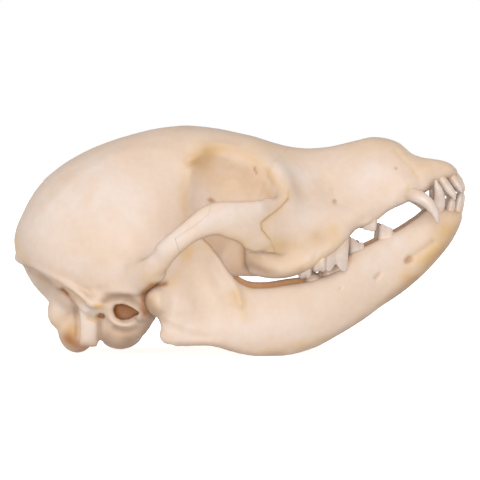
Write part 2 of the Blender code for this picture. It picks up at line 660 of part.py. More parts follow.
def set_down(objects):
    """Moves everything so that the origin is under the middle of the whole, on the floor."""
    corners = np.array([obj.matrix_world @ v.co for obj in objects for v in obj.data.vertices])
    low, high = corners.min(axis=0), corners.max(axis=0)
    shift = Vector((-(low[0] + high[0]) / 2, 0.0, -low[2]))
    for obj in objects:
        obj.data.transform(Matrix.Translation(shift))


def main():
    for obj in list(bpy.data.objects):
        bpy.data.objects.remove(obj)
    cranium = make_cranium()
    combine(cranium, [make_object("floor", floor_cut)], "DIFFERENCE")
    add_teeth(cranium, UPPER_PEGS, UPPER_CROWNS, (-1, 1), -1)
    cheeks = [part_cheek(cranium, -1, "zygomatic_right"), part_cheek(cranium, 1, "zygomatic_left")]
    rostrum = part_face(cranium)

    mandible = make_mandible()
    combine(mandible, [make_object("floor", floor_cut)], "DIFFERENCE")
    add_teeth(mandible, LOWER_PEGS, LOWER_CROWNS, (-1,), 1)
    left = copy_of(mandible, "mandible_left")
    left.data.transform(Matrix.Diagonal((1.0, -1.0, 1.0, 1.0)))
    left.data.flip_normals()

    bones = [cranium, rostrum, *cheeks, mandible, left]
    set_down(bones)
    for bone in bones:
        finish(bone, BONE)


main()
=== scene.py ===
"""A small dog's skull with its lower jaw, life size, on a pale studio floor.

Lengths in the tables are millimetres before the skull is set down on the floor. +X is forwards along
the muzzle, +Y is the animal's left and +Z is up. Tables give the right side, with Y counted outwards.
"""

import math

import bmesh
import bpy
import numpy as np
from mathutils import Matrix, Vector


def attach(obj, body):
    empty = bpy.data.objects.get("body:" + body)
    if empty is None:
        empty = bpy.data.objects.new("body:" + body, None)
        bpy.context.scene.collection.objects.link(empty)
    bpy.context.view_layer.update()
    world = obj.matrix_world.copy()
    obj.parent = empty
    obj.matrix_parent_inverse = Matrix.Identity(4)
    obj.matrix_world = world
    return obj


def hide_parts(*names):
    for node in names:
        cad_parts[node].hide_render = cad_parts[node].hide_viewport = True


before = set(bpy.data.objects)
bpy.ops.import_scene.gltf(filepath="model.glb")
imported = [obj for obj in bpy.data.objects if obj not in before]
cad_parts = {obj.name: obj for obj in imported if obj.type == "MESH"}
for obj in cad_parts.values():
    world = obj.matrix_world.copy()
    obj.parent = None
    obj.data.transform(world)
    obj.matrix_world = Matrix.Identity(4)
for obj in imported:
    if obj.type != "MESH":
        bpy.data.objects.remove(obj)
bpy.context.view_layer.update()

bl_info = {
    "name": "Dog skull",
    "version": (1, 0, 0),
    "blender": (4, 5, 0),
    "location": "View3D > Sidebar > Skull",
    "description": "Builds a dog's cranium, cheek bones, lower jaw and teeth on a studio floor",
    "category": "Object",
}

MM = 0.001
SET_DOWN = np.array([-0.2542, 0, -1.6])     # from the tables' place to the floor's
BODY = "root"
SIDES = {-1: "right", 1: "left"}            # by the way that Y goes

# Side view of the midline over the skull, and under the braincase.
TOP_LINE = [
    (-82.4, 42.5), (-81.3, 47.5), (-79.2, 52.4), (-76.6, 57.4), (-72.2, 63.6), (-64.7, 70), (-53.4, 76.3),
    (-41.7, 80.5), (-30, 83.4), (-18.3, 84.5), (-8, 83.3), (5.1, 80.5), (15, 77.5), (24, 76.1),
    (33, 76.8), (42, 78.8), (49, 80.3), (54.5, 79.6), (60, 77.2), (63, 75.1), (66, 73.9), (71, 73.2),
    (75.5, 71.8), (78.5, 69.4), (80.6, 66.2), (81.4, 64),
]
BASE_LINE = [
    (-82.4, 42.5), (-81.6, 37.5), (-77.4, 31), (-71, 22.5), (-62, 15), (-50, 12.5), (-38, 14), (-25, 19),
    (-10, 27), (5, 33), (15, 36),
]
# Half-width of the braincase at its widest level.
CASE_PLAN = [
    (-82.4, 0), (-81.9, 6), (-79.6, 12.5), (-75, 19), (-68, 24.5), (-58, 28), (-46, 29.6), (-35, 29.2),
    (-26, 27.4), (-18, 24), (-10, 18.6), (0, 14.6), (12, 13),
]
# Share of that width at its top and base, height of that level, and how far the block stays under the
# top line.
CASE_TOP_SHARE = 0.82
CASE_BASE_SHARE = 0.95
CASE_LEVEL = 43
UNDER_TOP = 0.3

# Face: x, bottom, half-width at the top, middle and bottom.
FACE = [
    (-25, 50, 14, 17, 12),
    (-18.5, 46, 19.6, 20.5, 13),
    (-9, 41, 18.6, 19.5, 13.5),
    (0, 36, 17, 20, 16),
    (9, 31, 16.5, 25, 25),
    (15, 28.8, 14, 26, 28.5),
    (22, 29.4, 11, 22.5, 29),
    (30, 33, 9, 19.5, 28.5),
    (36, 38, 8.5, 17, 26),
    (43, 46.4, 9, 15.5, 22),
    (50, 52, 10, 15.5, 18.5),
    (57, 55.2, 11, 15.5, 17),
    (63, 57, 11.5, 15, 16.6),
    (69, 60.4, 11, 13.2, 13.6),
    (74, 64.2, 9.4, 11.2, 11.4),
    (78.2, 65.5, 6.8, 8.2, 8.2),
    (80.2, 65.8, 2.5, 3.4, 3.4),
]
# Ridge that holds the upper teeth: x, bottom, y outwards, half-thickness.
UPPER_MARGIN = [
    (3, 30.6, 21, 2.6), (12.5, 29, 24.3, 4), (20.3, 30.3, 25.4, 4.4), (25.6, 32.8, 25.4, 4.4),
    (30.6, 36.1, 24.8, 4.2), (35.6, 39.8, 23.2, 4), (39, 43.2, 21.2, 3.8), (41.5, 46.6, 19.2, 3.6),
    (45.3, 47.6, 17.8, 3.6), (50.3, 50.2, 15.6, 3.6), (54, 53.2, 14.4, 3.8), (60, 55.8, 12.6, 3.8),
    (66, 59.2, 11.2, 3.6), (70, 61.8, 10, 3.2), (74, 64.2, 8, 2.8), (77.4, 65, 5.4, 2.8),
]
# Height of that ridge, and the least height of bone over it.
MARGIN_HEIGHT = 9
MARGIN_COVER = 3.5
# Side of the muzzle over the cheek teeth: x, bottom, top, and y outwards at the bottom, middle and top.
MUZZLE_SIDE = [
    (2, 33, 56, 24, 25, 20), (9, 30.4, 58, 27.8, 28.8, 23), (15, 29.9, 59, 29, 29.4, 23.6),
    (22, 31.4, 60, 29.4, 28, 21.6), (28, 34.2, 60, 28.8, 26.2, 19.6), (34, 38.8, 61, 27, 23.6, 17.8),
    (39, 43.8, 62, 24.4, 21, 16.6), (44, 48.2, 63, 21.4, 18.4, 15.6), (50, 51.2, 64, 18.6, 16.6, 15.2),
]
# How far out the plane lies from which that side grows.
MUZZLE_MIDDLE = 12

# Cheek arch: x, y outwards, z, half-height, half-thickness.
ARCH = [
    (29, 18.5, 50, 5, 3), (21.5, 23, 48.8, 8, 3.6), (14, 28.2, 48.6, 10.2, 3.4),
    (7.7, 33.2, 48.2, 9.5, 2.8), (0, 37.5, 49.8, 7.3, 2.5), (-8.7, 40.5, 50.6, 5.9, 2.4),
    (-17.5, 42.5, 46, 4.1, 2.5), (-24.4, 42, 40.3, 4, 2.7), (-31, 37.5, 33.5, 5, 3.4),
    (-36, 31.6, 29.6, 6.2, 4.2), (-42, 26, 27.4, 5.2, 3.8), (-49, 22.4, 25.8, 4, 3.2),
]
# Rounded forms that grow on the block: middle with y outwards, radii, and turn about Y in degrees.
SWELLINGS = {
    "occiput": ((-68.7, 0, 31.6), (8.7, 15, 15.6), -34),
    "round the spinal hole": ((-59, 0, 24.5), (12.5, 20, 11.5), 20),
    "upper condyle": ((-64.8, 10, 16.6), (4.9, 4.8, 6.3), 6),
    "lower condyle": ((-58.9, 9.6, 9.4), (6.9, 5.8, 7.9), -3),
    "arch knob": ((-29.6, 37.2, 32.2), (4.3, 2.8, 4.4), 0),
    "bulla": ((-42.8, 16.5, 11.8), (9, 8, 8.6), 0),
    "ear region": ((-45, 19, 21), (13, 8.5, 8), 0),
    "over the ear": ((-38, 25.5, 24.6), (10, 6.4, 5.2), 0),
    "behind the jaw's socket": ((-35, 27, 19.6), (4.2, 5.6, 6.2), -32),
}
# Rounded hollows, in the same columns.
EYE_SOCKETS = {"eye socket": ((-3.2, 34, 61.6), (20.4, 19.4, 22.4), 0)}
NOTCHES = {
    "jaw socket": ((-28, 32.4, 21.6), (5.35, 8.6, 5.95), -12),
    "canine notch": ((70.6, 16, 60), (3.3, 6, 7.2), 20),
}
SMALL_HOLES = {"behind the ear": ((-49.2, 25, 15.7), (1.4, 5, 1.3), 0)}
# What fills the fold between the arch's root and the dome: columns as in the arch.
ARCH_FILLET = [(-46, 24, 28, 4, 4), (-39, 27.4, 31.4, 4.6, 4.8), (-33.4, 30.6, 36.4, 3.6, 3.6)]
# Front rim of the eye socket: x, y outwards, z, half-height, half-thickness.
ORBIT_FRONT = [
    (17, 26.5, 53, 3.2, 3.6), (17, 24.4, 58, 3.2, 3.8), (16.6, 21.2, 62.6, 3.2, 3.6),
    (14.4, 18.4, 67, 3, 3.2), (11, 16.6, 70.6, 2.6, 2.6),
]
# Crest round the back of the skull: x, y outwards, z, half-height, half-thickness.
NUCHAL_CREST = [
    (-81.2, 0, 35.8, 1.6, 1.6), (-79, 9, 34.4, 1.1, 1.1), (-74, 16, 31.9, 0.9, 0.9),
    (-67.5, 21.5, 28.8, 1, 1), (-61.5, 24.4, 26, 1.1, 1.1), (-56.5, 25.8, 22.8, 1.3, 1.3),
    (-52, 26.3, 20.2, 1.6, 1.6), (-45, 26.6, 20.6, 1.6, 1.6),
]
# Where the slope below the crest starts at the back, and how steep it is in degrees.
NUCHAL_TOP = 37.2
NUCHAL_SLOPE = 33
# Plate that hangs down beside the condyle: x, y outwards, z, half-length, half-thickness.
NECK_PLATE = [
    (-52.6, 20, 22, 4.6, 2.6), (-53.6, 20.2, 16, 4.2, 2), (-53.8, 19.8, 10, 4, 1.8),
    (-54, 19.2, 4.4, 3.6, 1.5),
]
# Wing of bone behind the palate: x, y outwards, z, half-height, half-thickness.
PALATE_WING = [
    (16, 15, 35, 6, 3), (6, 14, 36.2, 7, 3), (-4, 13.5, 36.2, 7.2, 2.6), (-14, 12, 31.4, 6.6, 2.2),
    (-22, 10, 26, 4.4, 1.6),
]
# Lower rim of the ear opening, and the bone that runs from the ear's bulb to the jaw's joint.
EAR_LIP = [
    (-45.2, 24.6, 20.4, 0.9, 1.3), (-46.2, 24.6, 17.4, 1, 1.6), (-45, 24.2, 14.4, 1, 1.9),
    (-42.2, 24, 13, 1, 2.1), (-39, 24, 13.1, 1, 2.1), (-36.4, 24.2, 14.6, 1, 1.9),
    (-34.4, 24.6, 16.4, 0.9, 1.6),
]
EAR_BRIDGE = [
    (-44, 19, 9.6, 4.6, 4), (-38.2, 21, 11.2, 4.6, 4.2), (-34, 23.4, 14.8, 3.6, 3.8),
    (-31.4, 25.6, 17.6, 2.2, 3.2),
]
# Floor of the skull, and its hollows: x, y outwards, z, half-height, half-thickness.
SKULL_FLOOR = [
    (-62, 0, 12, 4.5, 8), (-50, 0, 13.5, 4.5, 9.5), (-35, 0, 18, 5, 9), (-18, 0, 27, 6, 9),
    (0, 0, 37, 6, 10), (12, 0, 40, 6, 12),
]
NOSE_HOLLOW = [
    (38, 0, 68, 3, 4), (48, 0, 69, 5.5, 5.8), (58, 0, 70, 6.5, 7), (68, 0, 73.4, 8.4, 7.4),
    (77, 0, 80.5, 11, 7.6), (84, 0, 88, 12, 7.6),
]
PALATE_HOLLOW = [
    (6, 0, 22, 8, 15), (24, 0, 27.5, 7.5, 18), (40, 0, 40, 6.5, 14), (54, 0, 51.5, 5.5, 10),
    (66, 0, 56.5, 4, 7.5), (72, 0, 58.6, 2.5, 5),
]
THROAT_HOLLOW = [
    (-30, 0, 17, 2, 4), (-18, 0, 23, 5.5, 7), (-6, 0, 28, 6.5, 8), (5, 0, 32, 5.5, 8.5),
    (12, 0, 35, 3, 6),
]
NECK_HOLLOW = [(-58, 0, 19, 5.5, 6.5), (-66, 0, 15, 6, 7), (-76, 0, 10, 7, 8)]

# Side-view sutures, x and z, with the width of the first seam.
FACE_SUTURE = [(21, 95), (18.5, 76.5), (12, 70.5), (6.5, 56), (2, 40), (-1, 15)]
FACE_GAP = 0.02
CHEEK_SUTURE = [
    (13.5, 68), (15.4, 64.6), (17.6, 61.2), (17.2, 57.7), (15, 54.9), (12.4, 53), (9.8, 51.2),
    (7.5, 49.2), (7.8, 46.9), (9.4, 45.2), (10.8, 43.4), (12.3, 40), (12.6, 38.6), (3, 38.4), (-14, 33),
    (-20, 36), (-22.2, 44), (-15.4, 48.4), (-10.6, 52.6), (-9, 60),
]
# How far out the cheek bones are cut from and to, and how far the cuts between face and braincase reach
# along the skull and across it.
CHEEK_INSIDE = 25
CHEEK_OUTSIDE = 60
CUT_ALONG = 120
CUT_ACROSS = 70

# Lower jaw: x, top, bottom, y outwards, half-thickness at the top, middle and bottom.
JAW = [
    (-29.4, 26, 17.4, 31.5, 1.2, 1.8, 1.6),
    (-27.6, 31.5, 12, 31.5, 1.3, 2, 2),
    (-25.2, 37, 6.8, 31.4, 1.4, 2, 2.6),
    (-22.5, 42, 5.5, 31, 1.3, 2, 3),
    (-17.5, 46.5, 5.4, 30.4, 1.3, 2, 3.3),
    (-12.5, 43, 5.5, 29.6, 1.5, 2.2, 3.5),
    (-7, 36.5, 4.6, 28.4, 1.8, 2.8, 3.7),
    (-2.6, 30, 3.2, 27.4, 2.4, 3.6, 3.8),
    (3, 26.4, 1.9, 26.2, 3.4, 4.4, 3.9),
    (10, 26, 1.2, 24.8, 4, 5, 4),
    (18, 27.2, 1.8, 23.2, 4.2, 5.2, 4),
    (27, 28.8, 4.2, 21, 4.4, 5.2, 4),
    (36, 32.8, 8.7, 18.6, 4.2, 5, 4),
    (40, 38, 11, 17.4, 4, 4.8, 4),
    (44, 39.8, 13.4, 16, 3.8, 4.8, 4),
    (51, 43.4, 18.3, 13.4, 3.8, 4.8, 4.4),
    (58.5, 46.9, 23.2, 10.8, 4, 5.2, 5.2),
    (64.5, 50.8, 27.9, 9.2, 4.4, 5.6, 5.6),
    (68, 53.4, 31.2, 8.4, 4.8, 6, 5.6),
    (73, 53.8, 36.6, 7.2, 5.2, 6, 5.6),
    (78.4, 53.2, 43.7, 5.2, 4.4, 4.8, 4),
    (81.2, 52.4, 49.8, 4, 2, 2.4, 2),
]
# Rounded forms of the right jaw half: middle, radii and turn.
JAW_SWELLINGS = {
    "condyle": ((-28.2, -30.9, 21.5), (5.2, 5.4, 5.9), -12),
    "neck of the condyle": ((-22.8, -31.4, 20.6), (8, 3, 7), 0),
    "corner": ((-25, -30.5, 9.6), (3.4, 2.4, 3.6), 0),
}
# Width of the seam between the jaw halves.
SYMPHYSIS_GAP = 0.3

# Outline of the ear opening in side view, and how far out its floor and the open air lie.
EAR_OPENING = [
    (-34.4, 17), (-38.2, 19.4), (-42.1, 20.3), (-44.1, 20), (-44.9, 18.2), (-44.2, 15.6), (-42.1, 14.4),
    (-39, 14.8), (-37, 16.2),
]
EAR_REACH = (21.2, 40)

# Where the grown skull is smoothed before it is carved: route, width, strength, |y| from and to.
CRANIUM_SMOOTH = {
    "maxilla": ([(13, 45), (26, 47), (38, 54.5), (47, 59.5)], 9, 1, 13, 40),
    "arch root": ([(-48, 31), (-40, 31.5), (-33, 37)], 5.5, 1, 16, 50),
    "front of the orbit": ([(-1, 75), (6, 72), (12.5, 66), (14, 61)], 4, 1, 8, 32),
    "behind the orbit": ([(-26, 68), (-23, 58), (-22, 50)], 6, 1, 8, 36),
    "before the orbit": ([(20, 54), (20.5, 60), (18, 67), (13, 72)], 4.5, 1, 10, 40),
}
JAW_SMOOTH = {"condyle": ([(-22, 26), (-21.5, 15)], 5.4, 1, 0, 60)}

# Strokes on the cranium: route in side view, width, height (below 0 is a groove), |y| from and to,
# and which way the surface faces there: 1 outwards, 0 any way.
CRANIUM_STROKES = {
    "orbit rim": ([(-17.7, 71.3), (-14.3, 73.9), (-11.8, 76.1), (-9.7, 77.2), (-6.1, 77.2), (-0.9, 75.9)],
        1.2, 0.4, 12, 30, 0),
    "under the rim": ([(-16.2, 69.4), (-11.6, 72.9), (-6.5, 74.2)], 1.8, -0.3, 10, 30, 0),
    "eyelid process": ([(-18.4, 70.6), (-16.6, 72)], 1.6, 0.4, 14, 30, 0),
    "tear crest": ([(10.2, 68.4), (11.8, 65.7), (13.2, 63)], 0.8, 0.3, 14, 34, 0),
    "behind the tear crest": ([(8.2, 67.6), (9.8, 65.2), (11, 62.8)], 1.1, -0.45, 12, 34, 0),
    "nuchal crest": ([(-80.4, 38.2), (-77.3, 35.4), (-73.4, 33.2), (-69.4, 31.3), (-66.8, 30.1),
        (-62.9, 28.2), (-59, 26.1), (-55.9, 23.8), (-54, 21.6), (-52, 19.8)], 0.7, 0.6, 3, 34, 0),
    "under the nuchal crest": ([(-77.5, 33.2), (-73, 31), (-68.6, 28.8), (-63.8, 26.4), (-60, 24.2),
        (-57.2, 21.9), (-55.2, 19.9)], 0.75, -1, 6, 34, 0),
    "neck muscle ridge": ([(-66.5, 26.6), (-63, 25), (-60, 22.2), (-57.2, 19.6), (-54.4, 17.4)], 0.7, 0.8,
        8, 34, 0),
    "beside the muscle ridge": ([(-64, 23.6), (-61.2, 21.6), (-58.8, 18.6), (-58.2, 14), (-58.1, 8)],
        0.75, -1.1, 8, 34, 0),
    "ear ledge": ([(-52.4, 24.4), (-48.9, 24.6), (-45.7, 25), (-42.5, 24.9), (-39.4, 24.8),
        (-36.4, 24.2)], 0.9, 0.6, 16, 36, 0),
    "over the ear": ([(-47.6, 21.6), (-45.3, 22.6), (-42.5, 23), (-39, 22.4), (-36.1, 20.4),
        (-33.6, 18.2), (-31.6, 16.4)], 1, -0.8, 16, 36, 0),
    "ear's upper rim": ([(-43, 21.2), (-40, 20.9), (-37, 19), (-34.2, 16.8)], 0.6, 0.5, 18, 36, 0),
    "mastoid": ([(-52.6, 21), (-50.4, 22)], 1.8, 0.6, 16, 36, 0),
    "ear rim": ([(-42.4, 21.4), (-44.8, 20.8), (-46.2, 18.4), (-45.8, 15.2), (-44.2, 13.4), (-41.8, 12.7),
        (-39.2, 12.7), (-37, 13.6), (-35.4, 15.2)], 0.75, 0.8, 18, 36, 0),
    "under the ear lip": ([(-44.6, 11.4), (-42, 10.4), (-39, 10.4), (-36.4, 11.4)], 0.9, -0.6, 16, 36, 0),
    "in front of the plate": ([(-50.2, 15.2), (-50.2, 10), (-49.8, 5.6)], 0.75, -1.1, 10, 34, 0),
    "bone behind the hole": ([(-54, 15), (-51.6, 14.2)], 0.8, -0.6, 12, 34, 0),
    "cheek ledge": ([(2.1, 41), (5.3, 39.6), (8.8, 39.4), (12, 39), (15.2, 38.4)], 0.8, 0.6, 18, 40, 0),
    "under the cheek ledge": ([(4, 37.9), (8, 37.6), (12.5, 37.6), (15, 37.3)], 0.8, -0.8, 16, 40, 0),
    "tuber hollow": ([(10, 36.4), (13, 36.2)], 1.3, -0.6, 16, 40, 0),
    "tuber rim": ([(5.2, 34.6), (9, 33.4), (13.6, 33)], 1.2, 0.5, 16, 40, 0),
    "arch root fold": ([(-38.6, 27.8), (-37.9, 30.3), (-34.3, 33.9)], 1.4, -0.2, 24, 50, 0),
    "canine root": ([(60.8, 62), (57, 65.6), (51.6, 69.4)], 3, 0.9, 6, 30, 1),
    "muzzle hollow": ([(30.5, 64.5), (33.5, 58.5), (38, 56.5)], 3.4, -0.8, 6, 34, 1),
    "carnassial roots": ([(37.6, 46), (32, 41.8)], 2.4, 0.35, 10, 40, 1),
    "cheek tooth pit": ([(26.4, 35.8), (27.2, 37.4)], 0.7, -0.5, 16, 40, 1),
    "before the premolar": ([(43.2, 50), (45.4, 50.4)], 0.9, -0.5, 10, 40, 1),
    "lower orbit hole": ([(34, 56.9), (34.4, 56.5)], 0.55, -1.6, 10, 40, 1),
    "lower orbit hole's lip": ([(31.8, 63), (32.2, 59.6), (33, 57.4)], 0.7, 0.25, 10, 40, 1),
    "muzzle pit": ([(56.2, 68.5), (56.5, 68.3)], 0.5, -0.8, 8, 40, 1),
    "nose bone seam": ([(55.9, 75.1), (59.2, 71.5), (62, 68.6), (64.2, 65), (65.2, 62.6)], 0.55, -0.35, 4,
        40, 0),
    "temporal line": ([(-18, 71.8), (-24, 74.6), (-33, 76), (-44, 74), (-58, 66), (-70, 53)], 1.6, 0.22,
        4, 40, 0),
    "orbit hole": ([(-10.2, 56.9), (-9.2, 56.6)], 0.7, -1.2, 6, 30, 0),
    "orbit vessel": ([(5.4, 68.6), (6.1, 66.6)], 0.45, -0.7, 6, 30, 0),
    "neck slit": ([(-63.3, 25), (-61.4, 23.2)], 0.6, -1.4, 8, 34, 0),
    "arch hollow": ([(-28, 35.6), (-33, 30)], 1.6, -0.3, 30, 50, 1),
}
JAW_STROKES = {
    "chewing muscle hollow": ([(-16, 33), (-13, 24), (-11, 18)], 6, -1.2, 5, 60, 1),
    "ramus front edge": ([(-15.4, 45.4), (-11.2, 41), (-7.2, 35.6), (-3.4, 29.6), (-0.8, 24.8),
        (0.4, 20.4)], 1.5, 0.9, 5, 60, 1),
    "behind the front edge": ([(-10, 34), (-6.6, 27.6), (-4.4, 21.6)], 2.6, -0.7, 5, 60, 1),
    "neck of the condyle": ([(-24.4, 24.8), (-23.4, 20.8), (-24.6, 16.8)], 1.6, -0.3, 5, 60, 1),
    "condyle pit": ([(-29.2, 18), (-27.6, 17)], 1.3, -0.4, 5, 60, 1),
    "corner's upper scar": ([(-25, 15), (-18, 12.4), (-10, 10.6)], 0.8, 0.2, 5, 60, 1),
    "corner's lower scar": ([(-24, 12), (-18, 9.8), (-11, 8.4)], 0.8, -0.2, 5, 60, 1),
    "lower border": ([(-22, 6.6), (-14, 7.2), (-7, 6.8)], 1.6, 0.35, 5, 60, 1),
    "front chin hole": ([(60.6, 35), (61.4, 35.6)], 1.1, -1.5, 3, 60, 1),
    "front chin groove": ([(61.6, 36), (64.4, 37.8), (67.6, 39.8), (69.8, 41.4)], 1.3, -0.7, 3, 60, 1),
    "rear chin hole": ([(49.2, 29.2), (50.2, 30.2)], 0.9, -0.8, 3, 60, 1),
    "small pit": ([(36, 25.6), (36.3, 25.8)], 0.5, -0.5, 3, 60, 1),
    "canine root": ([(72, 50), (66, 46), (58, 42.6)], 3, 0.5, 3, 60, 1),
    "inner groove": ([(-8, 22), (8, 20), (28, 17)], 3, -0.5, 5, 60, -1),
}

# Colour strokes: route, width, strength, |y| from and to.
CRANIUM_STAINS_AND_SHADE = {
    "cheek seam": ([(15.5, 64.6), (17.7, 61.2), (17.3, 57.6), (12.6, 53), (7.7, 49.2), (7.9, 46.8),
        (10.6, 43.4), (12.2, 40)], 1, 0.35, 20, 40),
    "cheek seam's yellow": ([(14.6, 54.6), (10.4, 50.8), (8.9, 48.6), (10.2, 45.4), (12.4, 42)], 1.8, 0.3,
        20, 40),
    "round the orbit": ([(-19.6, 49), (-19.8, 57), (-19.2, 63), (-17.4, 69.6), (-12, 74.8), (-4, 75.6),
        (4, 72.4), (10, 68.4), (14, 62.6), (16.6, 58.6)], 1.9, 0.34, 8, 36),
    "tear crest": ([(10.2, 68.4), (11.8, 65.7), (13.4, 62.6)], 0.6, 0.4, 14, 34),
    # Painted shade under the upper rim of the eye socket, in its bowl, and on the lower side of the ear's
    # bulb.
    "upper orbit corner": ([(-15, 70.6), (-11, 74.2)], 3.4, 0.8, 8, 30),
    "orbit": ([(-10, 66), (2, 62)], 9, 0.38, 4, 26),
    "bulla": ([(-46, 6), (-38, 6)], 4, 0.4, 0, 40),
    "orbit floor": ([(-14.5, 53.5), (-18, 49)], 3, 0.15, 8, 30),
    # Painted shade where the maxilla turns under.
    "low maxilla": ([(14, 40.4), (21, 41.4), (28, 43.6)], 3.8, 0.5, 14, 40),
    "condyle's gold": ([(-64, 13), (-60, 10)], 3.2, 0.75, 0, 24),
    "muzzle patch": ([(34, 44.6), (33.6, 46.4)], 3.2, 0.5, 10, 40),
    "back of the dome": ([(-81.4, 44), (-80.4, 38.6), (-77, 34.4)], 2.2, 0.4, 0, 34),
    # Painted shade in the fold under the nuchal crest.
    "nuchal fold": ([(-72, 30), (-64.4, 26.4), (-58, 22)], 1, 0.3, 6, 34),
    "nose seam": ([(55.9, 75.1), (59.2, 71.5), (62, 68.6), (64.4, 64.6)], 0.6, 0.28, 4, 40),
    "nose tip": ([(66, 70.5), (74, 69), (79, 66.5)], 4.5, 0.3, 0, 40),
    "canine socket": ([(60.8, 62.4), (59.6, 58.4), (61, 56.6)], 0.8, 0.35, 8, 40),
    "incisor sockets": ([(69, 61), (74, 63.6), (79.6, 65.8)], 1.2, 0.3, 0, 40),
    "cheek tooth sockets": ([(21, 32), (26, 34.6), (31, 37.6), (37, 43.6)], 1.6, 0.35, 10, 40),
    "forehead": ([(-4, 79.5), (8, 76.6), (20, 72.5)], 3.4, 0.15, 0, 40),
    "muzzle ridge": ([(40, 76), (50, 77.2), (60, 74)], 2.6, 0.22, 0, 40),
    "orbit front": ([(6.8, 66), (9.8, 59.6)], 2.2, 0.3, 6, 30),
    # Painted shade along the arch's lower border, on its under side, under the cheek and in the space under
    # the arch.
    "arch lower border": ([(-34, 29), (-26, 33), (-20, 39.6), (-13, 43.6), (-6, 45), (2, 42)], 1.8, 0.4,
        24, 50),
    "arch under side": ([(-26.6, 27.6), (-30.6, 28), (-33.4, 25)], 1.1, 0.5, 24, 50),
    "cheek under side": ([(10, 40), (3, 40.6), (-2, 44.2)], 1.2, 0.3, 24, 50),
    "space under the arch": ([(-32, 28), (-20, 36), (-9.7, 42), (1.1, 35)], 5.5, 0.3, 0, 27),
    "tuber": ([(4, 36), (10, 33), (20, 34)], 3.6, 0.3, 10, 40),
    "mastoid spot": ([(-50.8, 19.2), (-48.6, 19.6)], 1, 0.8, 16, 36),
    "beside the small hole": ([(-54, 14.9), (-51.4, 14), (-50.6, 15.6)], 0.8, 0.7, 12, 36),
}
# Where the bone is pinker and cooler, and where painted shade makes it grey-brown.
CRANIUM_ROSY = {
    "dome": ([(-70, 50), (-52, 62), (-42, 54)], 10, 0.9, 0, 40),
    "over the ear": ([(-60, 34), (-44, 32)], 5, 0.5, 0, 40),
    # Painted light: paler bone low in the eye socket.
    "painted light low in the orbit": ([(-15, 60), (-13, 54)], 5, 1, 0, 30),
    "arch": ([(-30, 38), (-18, 47), (-6, 52), (6, 55)], 3.2, 0.9, 24, 50),
    "forehead": ([(14, 68), (24, 66)], 5, 0.7, 0, 40),
    "muzzle": ([(44, 64), (50, 68)], 5, 0.8, 0, 40),
    "maxilla": ([(22, 54), (26, 46)], 6, 0.6, 0, 40),
    "plate": ([(-54, 16), (-54, 8)], 3.4, 0.9, 14, 40),
    "condyle": ([(-66, 18), (-64, 14)], 3.4, 0.7, 0, 40),
}
# Painted shade on the neck, the ear's bulb, under the ear's lip, round the jaw's socket, in the eye socket
# and under the maxilla.
CRANIUM_SHADE = {
    "neck": ([(-78, 33), (-70, 27), (-62, 22)], 3.4, 0.32, 0, 40),
    "neck folds": ([(-76, 31.4), (-70, 28.6), (-64, 25.4), (-60.4, 22), (-58.8, 16)], 1.2, 0.4, 6, 34),
    "ear groove": ([(-47.6, 21.6), (-45.3, 22.6), (-42.5, 23), (-39, 22.4), (-36.1, 20.4), (-33.6, 18.2),
        (-31, 16)], 1.6, 0.95, 14, 40),
    "bulla": ([(-47.6, 6.4), (-42, 4.6), (-36.6, 7), (-32, 12)], 4.4, 0.85, 0, 40),
    "under the ear lip": ([(-44.6, 11.6), (-42, 10.6), (-39, 10.6), (-36.4, 11.6)], 1.2, 0.7, 14, 40),
    "beside the plate": ([(-50.2, 14), (-50.2, 8)], 0.8, 0.7, 10, 40),
    "arch root": ([(-33.4, 22), (-35, 26), (-34, 31)], 2.2, 0.1, 20, 50),
    "retroarticular": ([(-34.6, 23), (-33, 18.6)], 2.2, 0.45, 20, 50),
    "orbit corner": ([(-13.5, 70.6), (-11, 73.6)], 3.2, 0.3, 8, 30),
    "orbit": ([(-5, 65), (1, 64)], 7, 0.12, 4, 26),
    "low maxilla": ([(16, 40), (22, 42), (28, 44)], 4, 0.25, 14, 40),
    "tuber's lower edge": ([(4, 33.6), (10, 31.4), (16, 30), (22, 31.6)], 1.8, 0.55, 10, 40),
}
JAW_ROSY = {
    "front": ([(46, 34), (56, 40)], 6, 0.6, 0, 60),
    "body": ([(0, 12), (20, 14)], 5, 0.5, 0, 60),
    "corner": ([(-20, 10), (-10, 12)], 4, 0.5, 0, 60),
}
# Painted shade on the chin, round the condyle and along the jaw's lower border.
JAW_SHADE = {
    "chin": ([(79.6, 46), (74, 38.4), (66, 30), (56, 21.6)], 2.2, 0.5, 0, 60),
    "condyle": ([(-31.8, 21), (-30.2, 17), (-27.4, 15.2)], 2.2, 0.6, 0, 60),
    "lower border": ([(-22, 6.2), (-6, 5), (2, 2.6), (10, 2), (22, 3.4), (36, 9.4), (50, 18.4),
        (64, 28.6)], 1.5, 0.4, 0, 60),
}
